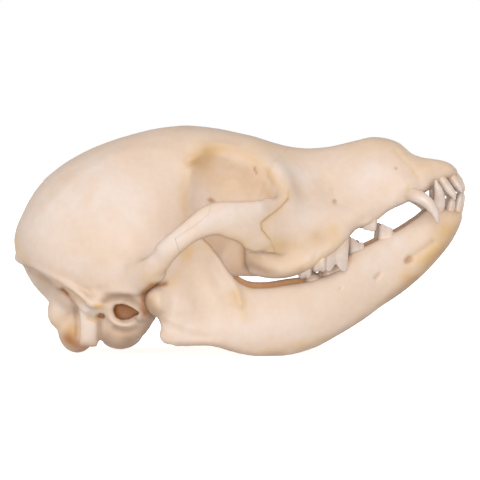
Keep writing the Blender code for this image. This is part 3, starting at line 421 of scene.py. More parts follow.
# Painted shade in the ear canal, holes, pits, the gap round the jaw's socket and on the lower condyle. The
# cheek seam's dark line is a real seam.
CRANIUM_DARK_SEAM_AND_SHADE = {
    "condyle": ([(-62, 7), (-58, 3.6), (-54, 3)], 3, 0.7, 0, 24),
    "inside the ear": ([(-43.4, 17.8), (-40.3, 17.6), (-37.4, 17.4)], 4.4, 1, 0, 23.8),
    "small hole": ([(-50, 15.4), (-49, 15.5)], 1, 0.8, 0, 40),
    "slit": ([(-63.3, 25), (-61.4, 23.2)], 0.6, 0.9, 8, 34),
    "lower orbit hole": ([(34.1, 56.8), (34.3, 56.6)], 0.5, 0.9, 10, 40),
    "muzzle pit": ([(56.3, 68.5), (56.4, 68.4)], 0.45, 0.6, 8, 40),
    "orbit hole": ([(-10.2, 56.9), (-9.2, 56.6)], 0.7, 0.5, 6, 30),
    "orbit vessel": ([(5.4, 68.6), (6.1, 66.6)], 0.35, 0.7, 6, 30),
    "cheek seam's dark line": ([(17.3, 57.6), (12.6, 53), (7.7, 49.2), (7.9, 46.8), (10.6, 43.4)], 0.35,
        0.3, 20, 40),
    "jaw socket": ([(-26.4, 28), (-31, 27.2), (-33.8, 24.4), (-34.4, 20.6), (-33.4, 17)], 1, 0.7, 24, 50),
}
JAW_STAINS_AND_SHADE = {
    # Stain and painted shade where the arch overhangs the jaw.
    "under the arch": ([(-18.6, 40), (-22, 34), (-24, 29)], 3, 0.55, 0, 60),
    "under the arch's middle": ([(-21, 41.6), (-15, 44.4), (-11, 42)], 3, 0.4, 0, 60),
    "ramus": ([(-18, 36), (-14, 30)], 7, 0.15, 0, 60),
    "condyle": ([(-31, 22), (-28.5, 19)], 3.2, 0.4, 0, 60),
    "behind the front edge": ([(-1.6, 24), (1, 20), (1.6, 17)], 3, 0.42, 0, 60),
    # Painted shade on the chin and along the lower edge.
    "chin": ([(75.6, 47), (73, 40), (69, 35), (62, 28)], 4.8, 0.85, 0, 60),
    "lower edge": ([(2, 3.6), (14, 3.4), (30, 7.4)], 1.8, 0.4, 0, 60),
    "front tooth sockets": ([(70, 50.4), (74, 51.6), (80, 52.6)], 1.8, 0.3, 0, 60),
    "upper border": ([(4, 26.4), (16, 27.8), (28, 30), (40, 36)], 1.2, 0.6, 0, 60),
    "front chin hole": ([(60.8, 35.2), (61.6, 36)], 1.2, 0.4, 0, 60),
    "lower front": ([(44, 15), (56, 23), (68, 32)], 2.4, 0.25, 0, 60),
}
# Painted shade round the condyle, under the arch's end and in the front chin hole.
JAW_DARK_SHADE = {
    "condyle": ([(-30.4, 18.4), (-29, 17.2)], 2.2, 0.2, 0, 60),
    "condyle's edge": ([(-26, 27.6), (-30.4, 27), (-32.8, 24.8), (-33.7, 21), (-33, 18)], 0.8, 0.65, 0,
        60),
    "under the arch's end": ([(-26.6, 27.6), (-25.6, 28.2)], 0.8, 0.35, 0, 60),
    "front chin hole": ([(60.7, 35.1), (61.2, 35.5)], 0.8, 0.35, 0, 60),
}
# How strongly the side of the jaw that faces the tongue takes its orange stain and painted light.
# Painted light: that orange is lighter than the bone and stands in for light that barely reaches the tongue
# side.
INNER_STAIN_AND_LIGHT = 0.9

# Single teeth, right side: x, y outwards, z, half-width along the jaw, half-width across, root first.
UPPER_PEGS = {
    "canine": [(54.6, 9.6, 61.6, 1.8, 1.5), (58, 12.4, 60.5, 2.4, 2), (60.4, 14.4, 59.6, 2.5, 2.1),
        (62.8, 16.2, 58.8, 2.5, 2.1), (65.3, 17.2, 57.7, 2.4, 2), (67.6, 17.5, 56, 2.15, 1.8),
        (69.3, 17.7, 53.9, 1.75, 1.5), (70.4, 17.8, 51.8, 1.3, 1.1), (70.9, 17.8, 50, 0.85, 0.75),
        (71, 17.8, 48.9, 0.4, 0.35)],
    "corner incisor": [(70.6, 8.8, 68, 1.3, 1.4), (72.6, 9.6, 65.4, 1.6, 1.6), (74.4, 10, 62.8, 1.7, 1.6),
        (76, 10.4, 60.6, 1.6, 1.5), (77.3, 10.6, 58.8, 1.2, 1.1), (77.9, 10.7, 57, 0.35, 0.35)],
    "middle incisor": [(75.6, 5.6, 68.2, 1.2, 1.3), (76.9, 6.1, 65.9, 1.5, 1.6),
        (78.4, 6.4, 63.6, 1.6, 1.7), (79.8, 6.5, 61.4, 1.3, 1.5), (80.8, 6.5, 59.7, 0.5, 0.7)],
    "centre incisor": [(77.2, 1.9, 68, 0.9, 1.1), (79, 2, 65.8, 1.15, 1.5), (80.5, 2.1, 63.5, 1.25, 1.6),
        (81.5, 2.1, 61.4, 1.05, 1.4), (82.1, 2.1, 60, 0.4, 0.6)],
}
LOWER_PEGS = {
    "canine": [(70, 8.6, 48, 2.6, 2), (71.3, 9.6, 52.4, 2.6, 1.9), (72.1, 10.8, 55.6, 2.35, 1.8),
        (72.3, 11.6, 57.7, 2.05, 1.6), (72, 12.4, 59.9, 1.7, 1.4), (71.3, 13, 62.1, 1.15, 1),
        (70.7, 13.4, 64.2, 0.3, 0.3)],
    "corner incisor": [(75.8, 6.8, 49, 1.5, 1.4), (76.2, 7, 51.9, 1.6, 1.5), (76.7, 7.2, 54.6, 1.6, 1.5),
        (77.2, 7.4, 57, 1.2, 1.3), (77.6, 7.5, 58.6, 0.4, 0.5)],
    "middle incisor": [(78.4, 4.4, 50, 1.3, 1.2), (79.2, 4.5, 53, 1.4, 1.3), (79.9, 4.5, 56, 1.35, 1.4),
        (80.4, 4.5, 58.4, 1, 1.2), (80.6, 4.5, 59.8, 0.4, 0.5)],
    "centre incisor": [(79.8, 1.7, 50.4, 1.2, 1.1), (80.4, 1.7, 53.2, 1.3, 1.2), (81, 1.7, 56, 1.25, 1.3),
        (81.5, 1.7, 58.4, 0.95, 1.1), (81.7, 1.7, 59.8, 0.4, 0.5)],
}
# Cheek teeth, right side: y outwards at the back and front, half-width, how wide the biting edge stays,
# length of the root, and the biting edge in side view.
UPPER_CROWNS = {
    "premolar": ((17.6, 17), 1.7, 0.45, 4, [(43.9, 49), (44.1, 47.3), (44.9, 46.3), (46.4, 46.1),
        (47.9, 45.7), (48.8, 46.1), (49.3, 47.6), (49.6, 50.4), (49.8, 52.4)]),
    "carnassial": ((25.6, 21.8), 2.3, 0.35, 6, [(30.3, 36.2), (30.6, 33), (31.3, 31.9), (32.4, 32),
        (33.4, 33), (34.4, 34.2), (35.4, 33), (36.6, 31.9), (38, 31.8), (38.6, 32.8), (38.8, 36),
        (39.2, 40), (39.5, 42.6)]),
    "first molar": ((24.6, 24.6), 3.8, 0.75, 4, [(25.6, 34.4), (26, 32.2), (27.2, 31.5), (28.6, 31.8),
        (30, 31.5), (30.9, 32.2), (31.2, 35.4)]),
    "second molar": ((23.6, 24.2), 3.6, 0.75, 3, [(20.7, 31.6), (21.2, 29.7), (22.3, 29), (23.4, 29.4),
        (24.6, 29), (25.5, 30), (25.9, 32.8)]),
}
LOWER_CROWNS = {
    "second premolar": ((13.2, 13.2), 1.5, 0.4, 3, [(49.9, 42.6), (50.2, 45.4), (50.9, 48), (51.7, 48.4),
        (52.8, 47.8), (54.2, 47.3), (55, 46.9), (55.6, 45.6), (57, 45.2)]),
    "third premolar": ((15.9, 15.9), 1.7, 0.4, 3, [(39.6, 36.4), (39.8, 40.4), (40.3, 43.4), (41, 43.3),
        (42.2, 42.3), (43.2, 41.7), (43.9, 42), (44.6, 41.4), (45.4, 39.9), (46.8, 39.6)]),
    "carnassial": ((18.4, 18.4), 2, 0.35, 3, [(29.4, 29.6), (30.4, 32.4), (31.8, 34), (33.4, 33.2),
        (35, 34.8), (36.6, 37), (38, 35.6), (39.4, 34.8)]),
    "molar": ((20.4, 20.4), 2, 0.6, 3, [(23.6, 28), (24.6, 30.2), (26, 30.6), (27.6, 30.4), (28.6, 29.8),
        (29.2, 28.8)]),
}
# Gum lines in side view.
UPPER_GUM = [
    (18, 31.5), (26, 34), (31, 36.6), (40, 43), (45, 48.6), (51, 52), (60, 58.6), (66, 60.6), (74, 63.4),
    (83, 65.4),
]
LOWER_GUM = [
    (18, 27.4), (29, 29.6), (39.6, 35.8), (47, 40.4), (57, 45.8), (66, 51.2), (74, 53.2), (83, 53.6),
]
# Millimetres under its own average at which the surface counts as wholly hollow, for the painted shade of
# hollows.
DEEP_HOLLOW = 0.55
# Softening passes times the square of a grid cell's side in metres.
CRANIUM_SOFTENING = 6.5e-6
JAW_SOFTENING = 4.9e-6
# What the settings of one kind share.
LENGTH = {"subtype": "DISTANCE", "unit": "LENGTH", "precision": 5}
COLOUR = {"subtype": "COLOR", "size": 3, "min": 0, "max": 1}


class SkullSizes(bpy.types.PropertyGroup):
    """How finely the skull is made, and how strongly its bone is marked."""

    cranium_grid: bpy.props.FloatProperty(
        name="Cranium grid", description="Side of the cells that the upper skull is grown from",
        default=0.00062, min=0.0004, max=0.002, **LENGTH)
    jaw_grid: bpy.props.FloatProperty(
        name="Jaw grid", description="Side of the cells that the lower jaw is grown from",
        default=0.0005, min=0.0003, max=0.002, **LENGTH)
    seam_gap: bpy.props.FloatProperty(
        name="Seam gap", description="Width of the seams round the cheek bones",
        default=0.00006, min=0.00002, max=0.0005, **LENGTH)
    relief: bpy.props.FloatProperty(
        name="Relief", description="Strength of the ridges, grooves and pits on the bone",
        default=1, min=0, max=2, subtype="FACTOR")
    unevenness: bpy.props.FloatProperty(
        name="Unevenness", description="Height of the gentle waves of the bone's surface",
        default=0.00004, min=0, max=0.0005, **LENGTH)


class SkullColours(bpy.types.PropertyGroup):
    """Colours of the dry bone and the teeth."""

    pale: bpy.props.FloatVectorProperty(
        name="Pale bone", description="Pinkish white of the thick, smooth bone",
        default=(0.605, 0.499, 0.432), **COLOUR)
    ivory: bpy.props.FloatVectorProperty(
        name="Ivory bone", description="Warmer tone that patches of the bone take",
        default=(0.585, 0.443, 0.340), **COLOUR)
    # Painted shade: grey-brown darkening at the neck, under the ear, on lower edges and in folds.
    shade: bpy.props.FloatVectorProperty(
        name="Painted shade", description="Grey-brown painted shade at the neck, under the ear and along lower edges",
        default=(0.33, 0.215, 0.145), **COLOUR)
    # Also painted shade: the stain colour darkens the undersides, the eye socket's bowl and the chin.
    stain: bpy.props.FloatVectorProperty(
        name="Stain and painted shade", description="Orange-yellow stain beside seams and sockets, and painted shade under the arches, in the eye sockets and along lower edges",
        default=(0.56, 0.36, 0.17), **COLOUR)
    # Painted shade: the darker tone that the hollow mark lays in grooves and hollows.
    hollow: bpy.props.FloatVectorProperty(
        name="Hollow", description="Painted shade in grooves and hollows",
        default=(0.49, 0.33, 0.23), **COLOUR)
    # Painted shade: dark brown in holes, pits, the gaps round the jaw joints and on the lower condyles. It
    # also draws the dark cheek seam.
    brown: bpy.props.FloatVectorProperty(
        name="Dark seams and painted shade", description="Brown of dark seams, and painted shade in holes, pits, joint gaps and on the lower condyles",
        default=(0.29, 0.10, 0.012), **COLOUR)
    # The tongue side's orange: a real stain, made lighter than bone as painted light where that side lies
    # in shade.
    inside: bpy.props.FloatVectorProperty(
        name="Inner face", description="Orange stain on the side of the jaw that faces the tongue, lighter than bone as painted light",
        default=(0.88, 0.50, 0.25), **COLOUR)
    enamel: bpy.props.FloatVectorProperty(
        name="Enamel", description="Greyish white of the tooth crowns",
        default=(0.58, 0.475, 0.41), **COLOUR)
    neck: bpy.props.FloatVectorProperty(
        name="Tooth neck", description="Yellower tone of the teeth near the bone",
        default=(0.57, 0.43, 0.33), **COLOUR)
    floor: bpy.props.FloatVectorProperty(
        name="Floor", description="Colour of the studio floor",
        default=(0.95, 0.95, 0.95), **COLOUR)


class SkullStudio(bpy.types.PropertyGroup):
    """The camera and lights."""

    distance: bpy.props.FloatProperty(
        name="Camera distance", description="From the middle of the view to the camera",
        default=0.9, min=0.3, max=5, **LENGTH)
    elevation: bpy.props.FloatProperty(
        name="Camera elevation", description="How far above the horizon the camera stands",
        default=math.radians(1.5), min=0, max=1.5, subtype="ANGLE", unit="ROTATION")
    view_width: bpy.props.FloatProperty(
        name="View width", description="What the camera sees from left to right at the skull",
        default=0.17568, min=0.1, max=1, **LENGTH)
    aim_height: bpy.props.FloatProperty(
        name="Aim height", description="Height that the middle of the view looks at",
        default=0.04067, min=0, max=0.3, **LENGTH)
    overhead: bpy.props.FloatProperty(
        name="Overhead", description="Brightness of the white room overhead, where its walls have 1",
        default=0.58, min=0, max=5)
    below: bpy.props.FloatProperty(
        name="From below", description="Brightness of what reaches the skull from below",
        default=0.48, min=0, max=5)
    key: bpy.props.FloatProperty(
        name="Main light", description="Strength of the broad light above and in front",
        default=1.1, min=0, max=20)
    fill: bpy.props.FloatProperty(
        name="Second light",
        description="Strength of the lamp behind the camera, which reaches the hollows",
        default=1.7, min=0, max=20)
    floor_glow: bpy.props.FloatProperty(
        name="Floor glow", description="How much light the white floor board gives off by itself",
        default=0.8, min=0, max=2)


def through(points, count=600, measured=2):
    """Dense points on a smooth curve through the given ones.

    Between two points each value follows the cubic that has their values and slopes, and the points
    are spaced by the distance along the first few columns.
    """
    points = np.asarray(points, float)
    steps = np.linalg.norm(np.diff(points[:, :measured], axis=0), axis=1)
    chord = np.r_[0, np.cumsum(steps)]
    slopes = np.gradient(points, chord, axis=0)
    at = np.linspace(0, chord[-1], count)
    left = np.clip(np.searchsorted(chord, at, side="right") - 1, 0, len(chord) - 2)
    span = (chord[left + 1] - chord[left])[:, None]
    t = (at - chord[left])[:, None] / span
    return (
        (2 * t**3 - 3 * t**2 + 1) * points[left] + (t**3 - 2 * t**2 + t) * span * slopes[left]
        + (3 * t**2 - 2 * t**3) * points[left + 1] + (t**3 - t**2) * span * slopes[left + 1]
    )


def columns(table, x):
    """The other columns of a table at each x, on the smooth curve through its rows."""
    dense = through(table)
    return [np.interp(x, dense[:, 0], dense[:, i]) for i in range(1, dense.shape[1])]


def sampled(table, count=140):
    """A table's columns at stations along x, closer together near each end: the cosine of an even angle."""
    first, last = table[0][0], table[-1][0]
    x = first + (last - first) * (1 - np.cos(np.linspace(0.02, math.pi - 0.02, count))) / 2
    return [x, *columns(table, x)]


def fade(value, low, high):
    """0 below low, 1 above high, and the cubic 3t^2 - 2t^3 between."""
    t = np.clip((value - low) / (high - low), 0, 1)
    return t * t * (3 - 2 * t)


def within(value, inner, outer, soft):
    """1 between two bounds, fading from 0.5 inside each bound to 0 at the soft distance outside it."""
    return fade(value, inner - soft, inner + 0.5) * (1 - fade(value, outer - 0.5, outer + soft))


def superellipse(sides, power):
    """How far across and up a ring's points lie: cos and sin to the power 2/p, with their signs."""
    angle = np.linspace(0, 2 * math.pi, sides, endpoint=False)
    return [np.sign(v) * np.abs(v) ** (2 / power) for v in (np.cos(angle), np.sin(angle))]


def turned(points, degrees):
    """Points turned about Y."""
    c, s = math.cos(math.radians(degrees)), math.sin(math.radians(degrees))
    return points @ np.array([[c, 0, -s], [0, 1, 0], [s, 0, c]])


def upright_rings(x, top, bottom, high, middle, low, y=0, power=2.3, sides=72, level=None):
    """Superelliptic rings in planes across X. The half-width at height s from -1 to 1 is the parabola
    through the low, middle and high widths. They are middle-wide at the level, or else half-way up."""
    across, up = superellipse(sides, power)
    level = (top + bottom) / 2 if level is None else level
    x, top, level, bottom, high, middle, low, y = (
        np.broadcast_to(v, np.shape(x))[:, None] for v in (x, top, level, bottom, high, middle, low, y))
    half = middle + (high - low) / 2 * up + ((high + low) / 2 - middle) * up**2
    z = level + np.where(up > 0, top - level, level - bottom) * up
    return np.stack([np.broadcast_to(x, z.shape), y + across * half, z], axis=2)


def tube_rings(route, side=1, power=2.2, stations=140, sides=48):
    """Superelliptic rings square to a smooth route of (x, y, z, half-height, half-thickness): centre
    + across * thickness * side way + up * height * up way, with the side way kept level."""
    route = through(route, stations, 3)
    route[:, 1] *= side
    centre = route[:, :3]
    ahead = np.gradient(centre, axis=0)
    ahead /= np.linalg.norm(ahead, axis=1)[:, None]
    sideways = np.array([0, 1, 0]) - ahead[:, 1:2] * ahead
    sideways /= np.linalg.norm(sideways, axis=1)[:, None]
    upwards = np.cross(ahead, sideways)
    across, up = (v[None, :, None] for v in superellipse(sides, power))
    return (
        centre[:, None, :] + across * route[:, None, 4:5] * sideways[:, None, :]
        + up * route[:, None, 3:4] * upwards[:, None, :]
    )


def egg_rings(centre, radii, turn=0, stations=28, sides=40):
    """An ellipsoid as rings along its own X: at -cos(t) a circle of radius sin(t), stretched by the
    three radii and turned about Y by the given degrees."""
    t = np.linspace(0.06, math.pi - 0.06, stations)[:, None]
    across, up = superellipse(sides, 2)
    ahead = np.broadcast_to(-np.cos(t), (stations, sides))
    return turned(np.stack([ahead, np.sin(t) * across, np.sin(t) * up], axis=2) * radii, turn) + centre


def slab_rings(centre, size, turn=0):
    """A box as four rings: its two ends, each drawn once small and once full, turned about Y."""
    corners = np.array([(-1, -1), (1, -1), (1, 1), (-1, 1)]) / 2
    ends = ((-0.5, 0.5), (-0.5, 1), (0.5, 1), (0.5, 0.5))
    rings = [[(at, y * k, z * k) for y, z in corners] for at, k in ends]
    return turned(np.array(rings) * size, turn) + centre


def prism_rings(outline, near, far):
    """A side-view outline carried across from one y to another, as two rings."""
    outline = np.asarray(outline, float)
    return np.stack([np.insert(outline, 1, y, axis=1) for y in (near, far)])


def skin(rings):
    """Points and faces of a closed surface: quads between neighbouring rings and a fan at each end,
    turned outwards by the sign of the volume that they enclose."""
    count, sides = rings.shape[:2]
    index = np.arange(count * sides).reshape(count, sides)
    after = np.roll(index, -1, axis=1)
    quads = np.stack([index[:-1], after[:-1], after[1:], index[1:]], axis=-1).reshape(-1, 4)
    points = np.vstack([rings.reshape(-1, 3), rings[0].mean(axis=0), rings[-1].mean(axis=0)])
    ends = np.vstack([
        np.stack([after[0], index[0], np.full(sides, count * sides)], axis=-1),
        np.stack([index[-1], after[-1], np.full(sides, count * sides + 1)], axis=-1)])
    halves = np.vstack([quads[:, :3], quads[:, [0, 2, 3]], ends])
    a, b, c = points[halves[:, 0]], points[halves[:, 1]], points[halves[:, 2]]
    if np.einsum("ij,ij->i", a, np.cross(b, c)).sum() < 0:
        quads, ends = quads[:, ::-1], ends[:, ::-1]
    return points, quads, ends


def add_object(name, data):
    """A new object in the scene."""
    made = bpy.data.objects.new(name, data)
    bpy.context.scene.collection.objects.link(made)
    return made


def solid(name, shells):
    """One mesh object of closed surfaces, each given as rings in the tables' millimetres."""
    points, faces, first = [], [], 0
    for rings in shells:
        own, quads, ends = skin(np.asarray(rings, float))
        points.append(own)
        faces += (quads + first).tolist() + (ends + first).tolist()
        first += len(own)
    mesh = bpy.data.meshes.new(name)
    mesh.from_pydata(((np.vstack(points) + SET_DOWN) * MM).tolist(), [], faces)
    mesh.validate()
    return add_object(name, mesh)


def flat_outline_solid(name, outline, near, far):
    """A side-view outline carried across, with one many-sided face at each end."""
    rings = prism_rings(outline, near, far)
    count = len(outline)
    points = (rings.reshape(-1, 3) + SET_DOWN) * MM
    around = np.arange(count)
    after = np.roll(around, -1)
    walls = np.stack([around, after, after + count, around + count], axis=1).tolist()
    mesh = bpy.data.meshes.new(name)
    mesh.from_pydata(points.tolist(), [], walls + [around[::-1].tolist(), (around + count).tolist()])
    bm = bmesh.new()
    bm.from_mesh(mesh)
    bmesh.ops.recalc_face_normals(bm, faces=bm.faces)
    bmesh.ops.triangulate(bm, faces=bm.faces)
    bm.to_mesh(mesh)
    bm.free()
    return add_object(name, mesh)


def settle(piece):
    """Keeps the shape that the piece's modifiers give, and drops them."""
    graph = bpy.context.evaluated_depsgraph_get()
    graph.update()
    mesh = bpy.data.meshes.new_from_object(piece.evaluated_get(graph))
    piece.modifiers.clear()
    old, piece.data = piece.data, mesh
    bpy.data.meshes.remove(old)


def grow_together(piece, cell, softening=0):
    """One even skin over all that the piece holds, its joins softened by averaging neighbours."""
    modifier = piece.modifiers.new("grow together", "REMESH")
    modifier.mode = "VOXEL"
    modifier.voxel_size = cell
    modifier.adaptivity = 0
    if softening:
        soften = piece.modifiers.new("soften", "SMOOTH")
        soften.factor = 0.5
        soften.iterations = softening
    settle(piece)


def cut(piece, tool, operation="DIFFERENCE"):
    """A Boolean of the piece with a tool, which is then removed."""
    modifier = piece.modifiers.new("cut", "BOOLEAN")
    modifier.operation = operation
    modifier.solver = "MANIFOLD"
    modifier.object = tool
    settle(piece)
    bpy.data.objects.remove(tool)
    if not piece.data.polygons:
        raise RuntimeError(f"nothing is left of {piece.name} after a cut")


def joined(name, pieces):
    """One object that holds the meshes of several, which are removed."""
    bm = bmesh.new()
    for piece in pieces:
        bm.from_mesh(piece.data)
        bpy.data.objects.remove(piece)
    mesh = bpy.data.meshes.new(name)
    bm.to_mesh(mesh)
    bm.free()
    return add_object(name, mesh)


def values_of(collection, name, width, kind=np.float32):
    """One property of every element, as an array of rows."""
    values = np.empty(len(collection) * width, kind)
    collection.foreach_get(name, values)
    return values.reshape(-1, width)


def largest_only(piece):
    """Drops every closed surface but the largest: each point takes the lowest number among its
    neighbours, and numbers are followed to their own, until none changes."""
    mesh = piece.data
    edges = values_of(mesh.edges, "vertices", 2, np.int32)
    label = np.arange(len(mesh.vertices))
    while True:
        low = label.copy()
        np.minimum.at(low, edges[:, 0], label[edges[:, 1]])
        np.minimum.at(low, edges[:, 1], label[edges[:, 0]])
        low = low[low]
        if (low == label).all():
            break
        label = low
    keep = np.bincount(label).argmax()
    if (label == keep).all():
        return
    bm = bmesh.new()
    bm.from_mesh(mesh)
    loose = [v for v, mine in zip(bm.verts, label == keep) if not mine]
    bmesh.ops.delete(bm, geom=loose, context="VERTS")
    bm.to_mesh(mesh)
    bm.free()


class Surface:
    """A piece's points in the tables' millimetres, with their normals and edges."""

    def __init__(self, piece):
        self.piece = piece
        self.points = values_of(piece.data.vertices, "co", 3).astype(float) / MM - SET_DOWN
        self.edges = values_of(piece.data.edges, "vertices", 2, np.int32)
        self.count = np.maximum(np.bincount(self.edges.ravel(), minlength=len(self.points)), 1)

    def normals(self):
        """Unit normals of the points."""
        return values_of(self.piece.data.vertex_normals, "vector", 3).astype(float)

    def averaged(self, points, steps, share):
        """The points after each has moved, step by step, a share of the way to its neighbours' mean."""
        points = points.copy()
        size = len(points)
        share = np.broadcast_to(share, size)
        a, b = self.edges[(share[self.edges] > 0).any(axis=1)].T
        for _ in range(steps):
            for i in range(3):
                total = np.bincount(a, points[b, i], size) + np.bincount(b, points[a, i], size)
                points[:, i] += share * (total / self.count - points[:, i])
        return points

    def write(self):
        """Puts the points back into the mesh."""
        flat = ((self.points + SET_DOWN) * MM).astype(np.float32).ravel()
        self.piece.data.vertices.foreach_set("co", flat)
        self.piece.data.update()


def stroke_strength(points, route, width):
    """How much of a stroke each point gets in side view: exp(-(distance / width)^2)."""
    flat = points[:, [0, 2]]
    nearest = np.full(len(points), np.inf)
    route = np.asarray(route, float)
    for start, end in zip(route, route[1:]):
        along = end - start
        t = np.clip((flat - start) @ along / (along @ along), 0, 1)
        gap = flat - start - t[:, None] * along
        nearest = np.minimum(nearest, np.einsum("ij,ij->i", gap, gap))
    return np.exp(-nearest / width**2)


def sculpt(surface, strokes, relief):
    """Raises ridges and sinks grooves along the normals, each fading with distance from its route."""
    out = np.abs(surface.points[:, 1])
    lift = np.zeros(len(surface.points))
    normals = surface.normals()
    facing = normals[:, 1] * np.sign(surface.points[:, 1])
    for route, width, height, inner, outer, way in strokes.values():
        amount = height * stroke_strength(surface.points, route, width)
        amount *= within(out, inner, outer, 1.5)
        if way:
            amount *= fade(way * facing, 0.15, 0.5)
        lift += amount
    surface.points += normals * (relief * lift)[:, None]
    surface.write()


def waves(points, length, seed, count=24):
    """A smooth uneven field: the mean of sine waves of about one length in scattered directions."""
    rng = np.random.default_rng(seed)
    ways = rng.normal(size=(count, 3))
    ways *= (2 * math.pi / length * rng.uniform(0.6, 1.5, count) / np.linalg.norm(ways, axis=1))[:, None]
    return np.sin(points @ ways.T + rng.uniform(0, 2 * math.pi, count)).sum(axis=1) / math.sqrt(count)


def roughen(surface, height, seed):
    """Moves the points along their normals by waves of about 11 and 4 mm."""
    bend = waves(surface.points, 11, seed=seed) + 0.5 * waves(surface.points, 4, seed=seed + 1)
    surface.points += surface.normals() * (height / MM * bend)[:, None]
    surface.write()


def stained(points, strokes, wobble):
    """The combined strength of colour strokes: 1 - the product of (1 - each)."""
    clear = np.ones(len(points))
    out = np.abs(points[:, 1])
    for route, width, strength, inner, outer in strokes.values():
        amount = strength * stroke_strength(points, route, width)
        amount *= within(out, inner, outer, 1)
        clear *= 1 - np.clip(amount * (1 + 0.35 * wobble), 0, 1)
    return 1 - clear


def smooth_over(surface, regions, steps=130):
    """Averages the surface in some regions, with a soft edge, so that what was joined there runs on."""
    share = 0.6 * fade(stained(surface.points, regions, 0), 0.3, 0.6)
    surface.points = surface.averaged(surface.points, steps, share)
    surface.write()


def write_attribute(mesh, name, values):
    """Stores one number for each point."""
    attribute = mesh.attributes.new(name, "FLOAT", "POINT")
    attribute.data.foreach_set("value", np.asarray(values, np.float32))


def paint(piece, rosy, stains_and_shade, shades, dark_seam_and_shade, inner=0):
    """Stores how rosy, stained, shaded, brown and hollow the bone is at each point. Shaded, hollow and most
    brown are painted shade, as is some stain; inner is partly painted light, as is rosy low in the eye
    socket.
    Hollow is how far the surface lies inside itself after much averaging. Waves of about 9 mm make the
    marks ragged."""
    surface = Surface(piece)
    wobble = waves(surface.points, 9, seed=11)
    normals = surface.normals()
    away = surface.averaged(surface.points, 40, 0.6) - surface.points
    hollow = np.einsum("ij,ij->i", away, normals)
    inwards = fade(-normals[:, 1] * np.sign(surface.points[:, 1]), 0.2, 0.8)
    write_attribute(piece.data, "hollow", np.clip(hollow / DEEP_HOLLOW, -1, 1))
    write_attribute(piece.data, "inner", inner * inwards)
    marks = (("stain", stains_and_shade, 1), ("rosy", rosy, 1), ("shade", shades, 0.5), ("brown", dark_seam_and_shade, 0.4))
    for name, strokes, ragged in marks:
        write_attribute(piece.data, name, stained(surface.points, strokes, ragged * wobble))


def finish_piece(piece, nodes, material, sharp=70):
    """Smooth shading, its material, its body and the CAD nodes that it stands for."""
    piece.data.materials.clear()
    piece.data.materials.append(material)
    piece.data.shade_smooth()
    piece.data.set_sharp_from_angle(angle=math.radians(sharp))
    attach(piece, BODY)
    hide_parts(*nodes)


def set_inputs(tree, node, values):
    """Links each input to a socket, or sets it to a number, a vector or a colour with an alpha of 1."""
    for key, value in values.items():
        socket = node.inputs[key]
        if isinstance(value, bpy.types.NodeSocket):
            tree.links.new(value, socket)
        elif isinstance(value, (int, float)) or len(value) == len(socket.default_value):
            socket.default_value = value
        else:
            socket.default_value = (*value, 1)


def add_node(tree, kind, values=(), **settings):
    """A node in a material, with its settings and inputs."""
    made = tree.nodes.new(kind)
    for key, value in settings.items():
        setattr(made, key, value)
    set_inputs(tree, made, dict(values))
    return made


def mixed(tree, factor, first, second, blend="MIX"):
    """A colour between two, by a socket or number."""
    sockets = {0: factor, 6: first, 7: second}
    return add_node(tree, "ShaderNodeMix", sockets, data_type="RGBA", blend_type=blend).outputs[2]


def ranged(tree, value, low, high, to_low=0, to_high=1):
    """A number moved from one range to another, and kept inside it."""
    ends = {"Value": value, "From Min": low, "From Max": high, "To Min": to_low, "To Max": to_high}
    return add_node(tree, "ShaderNodeMapRange", ends, interpolation_type="SMOOTHSTEP").outputs["Result"]


def noise(tree, place, scale, detail=3, roughness=0.55, distortion=0):
    """Noise on the piece's own coordinates. Scale is waves a metre."""
    values = {"Vector": place, "Scale": scale, "Detail": detail, "Roughness": roughness,
              "Distortion": distortion}
    return add_node(tree, "ShaderNodeTexNoise", values).outputs["Fac"]


def bump(tree, height, strength, distance, **under):
    """A normal bent by a height, on top of the normal under it."""
    values = {"Height": height, "Strength": strength, "Distance": distance, **under}
    return add_node(tree, "ShaderNodeBump", values).outputs["Normal"]


def speckled(tree, colour, amount):
    """A colour times a number."""
    grey = add_node(tree, "ShaderNodeCombineColor", {0: amount, 1: amount, 2: amount}).outputs[0]
    return mixed(tree, 1, colour, grey, "MULTIPLY")


def read_attribute(tree, name):
    """A painted number."""
    return add_node(tree, "ShaderNodeAttribute", attribute_name=name).outputs["Fac"]


def new_material(name):
    """A node material, its tree, the piece's own coordinates and the main shader."""
    material = bpy.data.materials.new(name)
    material.use_nodes = True
    tree = material.node_tree
    place = add_node(tree, "ShaderNodeTexCoord").outputs["Object"]
    return material, tree, place, tree.nodes["Principled BSDF"]


